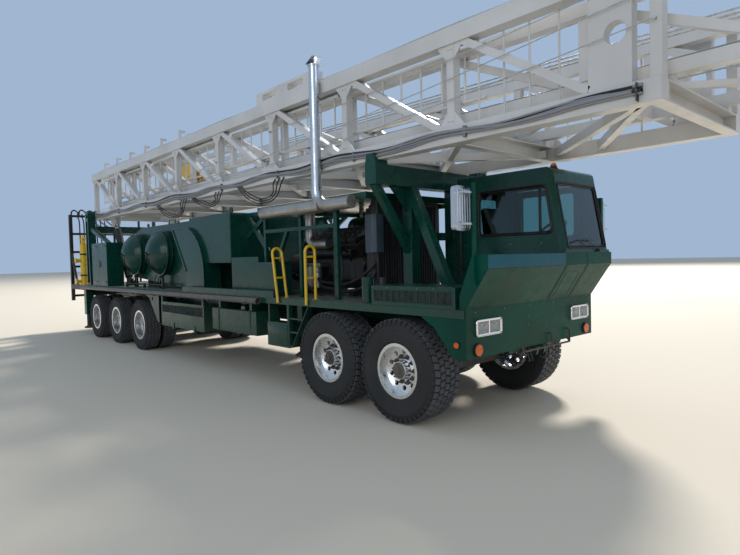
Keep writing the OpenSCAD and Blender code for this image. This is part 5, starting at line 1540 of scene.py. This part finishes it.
@dataclass
class Mast:
    """Hose bundles, clips, pins, lamps and reeved lines on the mast."""

    side_y: float = 1.0
    inner_y: float = 0.86
    chord_z: float = 2.9
    chord_top: float = 3.07
    top_z: float = 4.05
    first_post: float = -10.98
    bay: float = 1.655
    posts: int = 8
    # Bundled hoses as radius, lowest height and finish
    bundle: tuple[tuple[float, float, int], ...] = (
        (0.013, 2.955, 0), (0.012, 2.985, 0), (0.011, 3.015, 1), (0.01, 2.97, 0), (0.012, 3.0, 0),
    )
    # Loops below the chord as start, end and drop
    loops: tuple[Point, ...] = ((-6.9, -5.5, 0.27), (-5.3, -4.15, 0.19), (-3.65, -2.35, 0.27))
    # Thin lines as start, end and sag, each end as distance ahead and height
    strung: tuple[tuple[Flat, Flat, float], ...] = (
        ((-9.325, 3.12), (2.555, 3.72), 0.16),
        ((-6.015, 3.12), (2.555, 3.5), 0.12),
        ((-2.705, 3.62), (2.555, 3.86), 0.05),
        ((-10.96, 3.12), (-4.36, 3.42), 0.1),
    )
    floor_z: float = 2.985
    floor_y: float = 0.835
    lamp_z: float = 3.84
    lamp_half: float = 0.6
    block_x: float = -7.5
    block_z: float = 3.57
    block_reach: float = 0.249
    crown_x: float = 5.275
    crown_z: float = 3.51
    crown_reach: float = 0.184

    def build(self) -> None:
        """Builds the mast's fittings."""
        self.hoses()
        self.thin_lines()
        self.joints()
        self.front_bay()
        self.lamps()
        self.reeving()
        self.upper()

    def hoses(self) -> None:
        """Runs a sagging bundle of hoses on the near lower chord's face, with loops below the chord."""
        piece = Piece("mast_hose_bundle", HOSE_GREY, HOSE_RUBBER, ZINC_STEEL)
        for k, (radius, low, finish) in enumerate(self.bundle):
            y = -self.side_y - radius - 0.002 - 0.016 * (k % 2)
            points = []
            for i in range(34):
                x = -10.8 + 0.4 * i
                phase = (x - self.first_post) / self.bay * math.tau
                z = low + 0.022 * math.cos(phase + 0.25 * k) + 0.012 * math.sin(1.3 * x + 1.7 * k)
                points.append((x, y, z))
            piece.line(points, radius, curved=True, finish=finish)
            piece.rod(points[-1], (x + 0.07, y, z), radius * 1.35, 12, finish=2)
        for i in range(self.posts):
            x = min(self.first_post + self.bay * i + 0.2, 2.35)
            piece.box((x - 0.015, -1.036, 2.93), (x + 0.015, -0.998, 3.04), 0.004, finish=2)
        piece.box((2.43, -1.05, 2.91), (2.438, -0.998, 3.05), 0.002, finish=2)
        for start, end, drop in self.loops:
            for k in range(3):
                self.loop(piece, start + 0.06 * k, end - 0.11 * k, self.chord_z - drop + 0.035 * k, 0.02 * k)
        piece.put("mast_lower")

    def loop(self, piece: Piece, start: float, end: float, low: float, inward: float) -> None:
        """Hangs one hose below the chord, from its face.

        Args:
            piece: The piece it belongs to.
            start: Where it leaves the chord.
            end: Where it comes back.
            low: Its lowest height.
            inward: How far it hangs inwards from the first.
        """
        span, clip, under = end - start, self.chord_z + 0.03, self.chord_z - 0.02
        path = (
            (start, clip), (start + 0.06, under), (start + 0.25 * span, low + 0.06), (start + span / 2, low),
            (start + 0.78 * span, low + 0.05), (end - 0.05, under), (end, clip),
        )
        points = [(x, -1.012 if z > self.chord_z - 0.03 else -0.97 + inward, z) for x, z in path]
        piece.line(points, 0.009, curved=True, finish=1)

    def thin_lines(self) -> None:
        """Strings the thin lines that rise along the near side, and two along the top chord."""
        piece = Piece("mast_thin_lines", WIRE_ROPE, HOSE_RUBBER)
        out = -self.side_y - 0.006
        for start, end, sag in self.strung:
            for x, z in (start, end):
                piece.rod((x, -0.965, z), (x, out - 0.01, z), 0.011, 12)
            points = []
            for k in range(9):
                t = k / 8
                x, z = (a + (b - a) * t for a, b in zip(start, end))
                points.append((x, out, z - 4 * sag * t * (1 - t)))
            piece.line(points, 0.005, curved=True)
        for k, y in enumerate((-0.97, -0.93)):
            points = [
                (self.first_post + 0.4 + 0.8 * i, y, self.top_z + 0.008 + 0.006 * ((i * 7 + k) % 3))
                for i in range(17)
            ]
            piece.line(points, 0.008, curved=True, finish=k)
        piece.put("mast_lower")

    def joints(self) -> None:
        """Adds the front bay's V braces, bolts to the post gussets and pins through the mast's feet."""
        piece = Piece("mast_bolts_pins_and_braces", ZINC_STEEL, MAST_WHITE)
        near = Vector((2.44, -self.floor_y, self.floor_z))
        for x in (0.74, 1.28):
            far = Vector((x, self.floor_y, self.floor_z))
            piece.bar(near, far, 0.07, Vector((0, 0, 1)), 0.09, finish=1)
        for side in Side:
            s = side.value
            for i in range(self.posts):
                x = self.first_post + self.bay * i
                for z in (self.chord_top + 0.05, self.top_z - 0.22):
                    for dx in (-0.02, 0.02):
                        piece.hex_bolt((x + dx, s * 0.98, z), side.out, 0.012, finish=1)
            for x in (2.35, 2.5):
                for z in (3.93, 4.0):
                    piece.hex_bolt((x, s * self.side_y, z), side.out, 0.02, finish=1)
            piece.rod((-10.25, s * self.inner_y, self.floor_z), (-10.25, s * 1.004, self.floor_z), 0.05, 24)
        piece.put("mast_lower")

    def front_bay(self) -> None:
        """Adds the diagonal of the front bay and the thin uprights behind it."""
        piece = Piece("mast_front_bay", MAST_WHITE)
        for side in Side:
            s = side.value
            high, low = Vector((0.65, s * 0.93, 3.95)), Vector((2.03, s * 0.93, 3.09))
            piece.bar(high, low, 0.075, Vector((0, 1, 0)), 0.1)
            for x in (0.87, 1.16, 1.43, 1.72):
                piece.rod((x, s * 0.866, self.chord_top), (x, s * 0.866, 3.88), 0.01, 12)
        piece.put("mast_lower")

    def lamps(self) -> None:
        """Adds the mast's tube lamps inside the side frames."""
        piece = Piece("mast_tube_lamps", TUBE_LENS, ZINC_STEEL, CHASSIS_BLACK)
        half, z = self.lamp_half, self.lamp_z
        for side in Side:
            s = side.value
            y = s * self.inner_y
            for i in (2, 4, 6):
                x = self.first_post + self.bay * (i - 0.5)
                piece.rod((x - half, y, z), (x + half, y, z), 0.02, 16)
                piece.box((x - 0.63, y - 0.02, z + 0.02), (x + 0.63, y + 0.02, z + 0.042), 0.004, finish=1)
                for end in (-1, 1):
                    piece.rod((x + end * half, y, z), (x + end * 0.64, y, z), 0.026, 16, finish=2)
        piece.put("mast_lower")

    def reeving(self) -> None:
        """Runs the lines from the crown's sheaves to the travelling block."""
        piece = Piece("reeved_lines", WIRE_ROPE)
        for i in (-1, 0, 1):
            for end in (-1, 1):
                crown = (self.crown_x, i * 0.11, self.crown_z + end * self.crown_reach)
                block = (self.block_x, i * 0.09, self.block_z + end * self.block_reach)
                piece.rod(crown, block, 0.008, 10)
        piece.put("mast_upper")

    def upper(self) -> None:
        """Adds the crown's bolts and a line along each of the upper section's chords."""
        piece = Piece("upper_mast_fittings", ZINC_STEEL, HOSE_GREY)
        for side in Side:
            s = side.value
            for dx in (0.06, 0.2, 0.34):
                for z in (3.2 + 0.5 * dx, 3.8):
                    piece.hex_bolt((5.05 + dx, s * 0.67, z), side.out, 0.024)
            points = [(-10.4 + 1.03 * i, s * 0.744, 3.242 + 0.006 * (i % 2)) for i in range(16)]
            piece.line(points, 0.007, curved=True, finish=1)
        piece.put("mast_upper")


@dataclass
class RearEnd:
    """Hoses, gauges and valves on the rear frame and the mast's foot."""

    frame_x: float = -12.7
    floor_z: float = 1.24
    # The upright cylinder's place, and turned shapes as radius and distance along the axis
    cylinder: Flat = (-11.7, -1.1)
    dial: tuple[Flat, ...] = ((0.0, 0.03), (0.05, 0.028), (0.055, 0.0), (0.0, 0.0))
    cap: tuple[Flat, ...] = ((0.0, 0.0), (0.1, 0.0), (0.1, 0.02), (0.03, 0.03), (0.03, 0.09), (0.0, 0.09))
    ring: tuple[Flat, ...] = ((0.085, -0.02), (0.094, -0.02), (0.094, 0.02), (0.085, 0.02))
    lever: tuple[Flat, ...] = ((0.195, 1.84), (0.27, 1.86), (0.31, 1.93))

    def behind(self, path: Sequence[Point]) -> list[Point]:
        """Returns points that are given with X as the distance ahead of the rear frame."""
        return [(self.frame_x + dx, y, z) for dx, y, z in path]

    def build(self) -> None:
        """Builds the rear fittings."""
        self.hoses()
        self.panel()

    def hoses(self) -> None:
        """Hangs hoses from the frame's top beam to the platform, with coils over the beam."""
        piece = Piece("rear_frame_hoses", HOSE_RUBBER, ZINC_STEEL)
        for i in range(7):
            y = -0.95 + 0.11 * i
            path = (
                (0.03, y, 3.1), (0.14, y, 3.0), (0.15, y + 0.01, 2.6), (0.13 + 0.02 * (i % 3), y + 0.03, 2.0),
                (0.2, y + 0.05, 1.5), (0.5, y + 0.06, self.floor_z),
            )
            piece.line(self.behind(path), 0.017, curved=True)
            piece.rod(*self.behind([(0.03, y, 3.08), (0.03, y, 3.18)]), 0.022, 12, finish=1)
        for i in range(4):
            y = -1.12 + 0.2 * i
            top = 3.27 + 0.02 * (i % 2)
            hump = ((0.02, y, 3.14), (0.05, y + 0.05, top), (0.06, y + 0.14, 3.25), (0.02, y + 0.2, 3.14))
            piece.line(self.behind(hump), 0.02, curved=True)
        for i in range(3):
            y = -0.8 + 0.25 * i
            path = [
                (self.frame_x + 0.03, y, 3.13), (-12.2, y + 0.02, 3.02 - 0.05 * i),
                (-11.6, y + 0.05, 2.82 - 0.04 * i), (-11.2, y + 0.05, 2.72), (-11.02, y + 0.04, 2.739),
            ]
            piece.line(path, 0.016, curved=True)
        piece.put("carrier")

    def panel(self) -> None:
        """Adds the gauge panel with its levers and the cap of the upright cylinder."""
        piece = Piece("rear_gauges_and_valves", CHASSIS_BLACK, ZINC_STEEL, RED_CAP, RAIL_YELLOW)
        piece.box(*self.behind([(0.055, 0.15, 1.72), (0.2, 0.85, 2.12)]), 0.01)
        for i in range(4):
            y = 0.25 + 0.165 * i
            piece.turned(self.dial, (self.frame_x + 0.199, y, 2.0), (1, 0, 0), 24, finish=1)
            piece.line(self.behind([(dx, y, z) for dx, z in self.lever]), 0.008, finish=1)
            piece.ball((self.frame_x + 0.315, y, 1.945), 0.02, finish=2)
        piece.turned(self.cap, (*self.cylinder, 2.45), (0, 0, 1), 28, finish=3)
        for z in (1.5, 2.05):
            piece.turned(self.ring, (*self.cylinder, z), (0, 0, 1), 36)
        piece.put("carrier")


# The studio


@dataclass
class Studio:
    """The camera at the photo's place, the floor and the soft lights."""

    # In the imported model's frame
    place: Point = (7.79, -5.382, 1.775)
    yaw: float = 42.271
    pitch: float = -1.994
    roll: float = -1.323
    lens: float = 27.034
    sensor: float = 36.0
    clip_end: float = 200.0
    floor_size: float = 150.0
    floor_colour: str = "dccdb6"
    floor_roughness: float = 0.9
    sky_colour: str = "adc4e0"
    sky_strength: float = 0.85
    # Disc lights as name, place, what it faces, width and watts
    lamps: tuple[tuple[str, Point, Point, float, float], ...] = (
        ("key", (-27, 51, 45), (0, 0, 1.5), 12.0, 66000.0),
        ("fill", (9, -20, 9), (0, 0, 1.5), 14.0, 900.0),
        ("front", (20, 4, 7), (2, 0, 1.5), 8.0, 280.0),
    )

    def build(self) -> None:
        """Sets up the studio."""
        self.camera()
        self.floor()
        self.lights()
        self.sky()
        bpy.context.scene.view_settings.view_transform = "Standard"

    def camera(self) -> None:
        """Puts the camera where the photo was taken from."""
        yaw, pitch, roll = (math.radians(a) for a in (self.yaw, self.pitch, self.roll))
        level = Vector((-math.cos(yaw), math.sin(yaw), 0))
        side = Vector((math.sin(yaw), math.cos(yaw), 0))
        up = Vector((0, 0, 1))
        ahead = level * math.cos(pitch) + up * math.sin(pitch)
        above = up * math.cos(pitch) - level * math.sin(pitch)
        right = side * math.cos(roll) + above * math.sin(roll)
        top = above * math.cos(roll) - side * math.sin(roll)
        turn = Matrix((right, top, -ahead)).transposed()
        data = bpy.data.cameras.new("camera")
        data.lens = self.lens
        data.sensor_width = self.sensor
        data.clip_end = self.clip_end
        camera = add_object("camera", data)
        camera.matrix_world = Matrix.Translation(self.place) @ turn.to_4x4()
        bpy.context.scene.camera = camera

    def floor(self) -> None:
        """Lays a plain pale floor."""
        mesh = bmesh.new()
        bmesh.ops.create_grid(mesh, x_segments=1, y_segments=1, size=self.floor_size)
        data = bpy.data.meshes.new("floor")
        mesh.to_mesh(data)
        mesh.free()
        material = bpy.data.materials.new("floor")
        material.use_nodes = True
        shader = material.node_tree.nodes["Principled BSDF"]
        paint = {"Base Color": linear(self.floor_colour), "Roughness": self.floor_roughness}
        fill(material.node_tree, shader, paint)
        data.materials.append(material)
        add_object("floor", data)

    def lights(self) -> None:
        """Hangs a large soft key light and two weaker fills."""
        for name, place, aim, size, power in self.lamps:
            data = bpy.data.lights.new(name, "AREA")
            data.shape = "DISK"
            data.size = size
            data.energy = power
            turn = (Vector(aim) - Vector(place)).to_track_quat("-Z", "Y").to_matrix().to_4x4()
            add_object(name, data).matrix_world = Matrix.Translation(place) @ turn

    def sky(self) -> None:
        """Spreads a pale sky."""
        world = bpy.data.worlds.new("sky")
        world.use_nodes = True
        sky = {"Color": linear(self.sky_colour), "Strength": self.sky_strength}
        fill(world.node_tree, world.node_tree.nodes["Background"], sky)
        bpy.context.scene.world = world


def cab_face(spot: Spot) -> int:
    """Tells the cab shell's inner faces from its painted ones.

    Args:
        spot: A face's spot.

    Returns:
        1 for an inner face, 0 for a painted one.
    """
    sill_z, roof_z, brow_z, nose_z = Cab.sill[1], Cab.roof[1], Cab.brow[1], Cab.nose[1]
    if spot.z > sill_z:
        front = Cab.sill[0] - (Cab.sill[0] - Cab.roof[0]) * (spot.z - sill_z) / (roof_z - sill_z)
    elif spot.z > brow_z:
        front = 1.198
    else:
        front = 0.943 + 0.255 * max(0.0, spot.z - nose_z) / (brow_z - nose_z)
    return int(0.22 < spot.y < 1.22 and 1.28 < spot.z < 2.705 and -0.25 < spot.x < front - 0.02)


def deck_face(spot: Spot) -> int:
    """Tells the deck's tread plate and the pipe beside it from its plain steel.

    Args:
        spot: A face's spot.

    Returns:
        1 for tread plate, 2 for the pipe, 0 for the rest.
    """
    if spot.y < -1.2501:
        return 2
    return int(spot.up > 0.9 and 1.2 < spot.z < 1.3)


def box_face(spot: Spot) -> int:
    """Tells the mud flaps, the tanks' straps and the deck's smaller can from the painted steel.

    Args:
        spot: A face's spot.

    Returns:
        1 for a flap, 2 for a strap or the can, 0 for the rest.
    """
    if -6.42 < spot.x < -6.389 and abs(spot.y) < 1.229:
        return 1
    tank_strap = min(abs(spot.x + 3.98), abs(spot.x + 3.02)) < 0.021 and spot.z < 1.05 and abs(spot.y) > 0.8
    smaller_can = -0.48 < spot.x < -0.36 and spot.z > 1.261
    return 2 if tank_strap or smaller_can else 0


def lamp_face(spot: Spot) -> int:
    """Tells the headlamps' shells and the beacon's foot from the amber lenses.

    Args:
        spot: A face's spot.

    Returns:
        1 for a headlamp's shell, 2 for the beacon's foot, 0 for a lens.
    """
    if 0.6 < abs(spot.y) < 1.13 and spot.z > 0.98 and spot.x > 0.95:
        return 1
    return 2 if 2.73 < spot.z < 2.772 else 0


def engine_face(spot: Spot) -> int:
    """Tells the engine's green cabinets, the radiator's side panel and the charge pipe from the black rest.

    Args:
        spot: A face's spot.

    Returns:
        1 for a cabinet, 2 for the panel, 3 for the pipe, 0 for the rest.
    """
    if abs(spot.y) > 0.69 and spot.x < -2.5:
        return 1
    if spot.y < -0.635 and spot.x > -1.2 and spot.z > 1.8:
        return 2
    return 3 if spot.z > 2.05 and -2.95 < spot.x < -1.5 else 0


def exhaust_face(spot: Spot) -> int:
    """Returns 1 for the plated stack and 0 for the dull pipe below it."""
    return int(spot.z > 2.56 and spot.x > -1.6)


def rim_face(axle: float, spot: Spot) -> int:
    """Returns 1 for a steered wheel's black hub and 0 for its aluminium, for the axle at that place."""
    return int(math.hypot(spot.x - axle, spot.z - Wheels.front_radius) < 0.09)


def dress_nodes(frame: dict[str, Any]) -> None:
    """Gives every CAD node its finish.
    """
    for part in frame["record"]["subparts"]:
        dress_node(frame, part["node"], [SLOT_FINISH[Slot(part["material_slot"])]])
    # The nose gets the lit copy of the carrier's enamel, painted brighter for how the light falls there
    dress_node(frame, "nose", [NOSE_LIT_COPY_GREEN])
    dress_node(frame, "mirrors", [STACK_CHROME])
    dress_node(frame, "deck", [CARRIER_GREEN, DECK_GREEN, PIPE_BROWN], deck_face)
    dress_node(frame, "side_boxes", [CARRIER_GREEN, SEAL_RUBBER, CHASSIS_BLACK], box_face)
    dress_node(frame, "cab_shell", [CARRIER_GREEN, CAB_VINYL], cab_face)
    dress_node(frame, "lamps", [AMBER_LENS, HARD_CHROME, CHASSIS_BLACK], lamp_face)
    dress_node(frame, "engine", [CHASSIS_BLACK, CARRIER_GREEN, PANEL_GREY, ZINC_STEEL], engine_face)
    dress_node(frame, "exhaust", [EXHAUST_STEEL, STACK_CHROME], exhaust_face)
    for i, axle in enumerate(Wheels.front_places, 1):
        for side in Side:
            rim = f"front_rim_{i}_{side.word}"
            dress_node(frame, rim, [WHEEL_ALUMINIUM, CHASSIS_BLACK], partial(rim_face, axle))


def main() -> None:
    """Dresses the frame, builds the fittings and sets up the studio."""
    logging.basicConfig(level=logging.INFO, format="%(name)s: %(message)s")
    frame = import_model()
    Studio().build()
    dress_nodes(frame)
    for assembly in (Wheels(), Cab(), Deck(), EngineBay(), Mast(), RearEnd()):
        assembly.build()
        LOG.info("%s done", type(assembly).__name__)


if __name__ == "__main__":
    main()
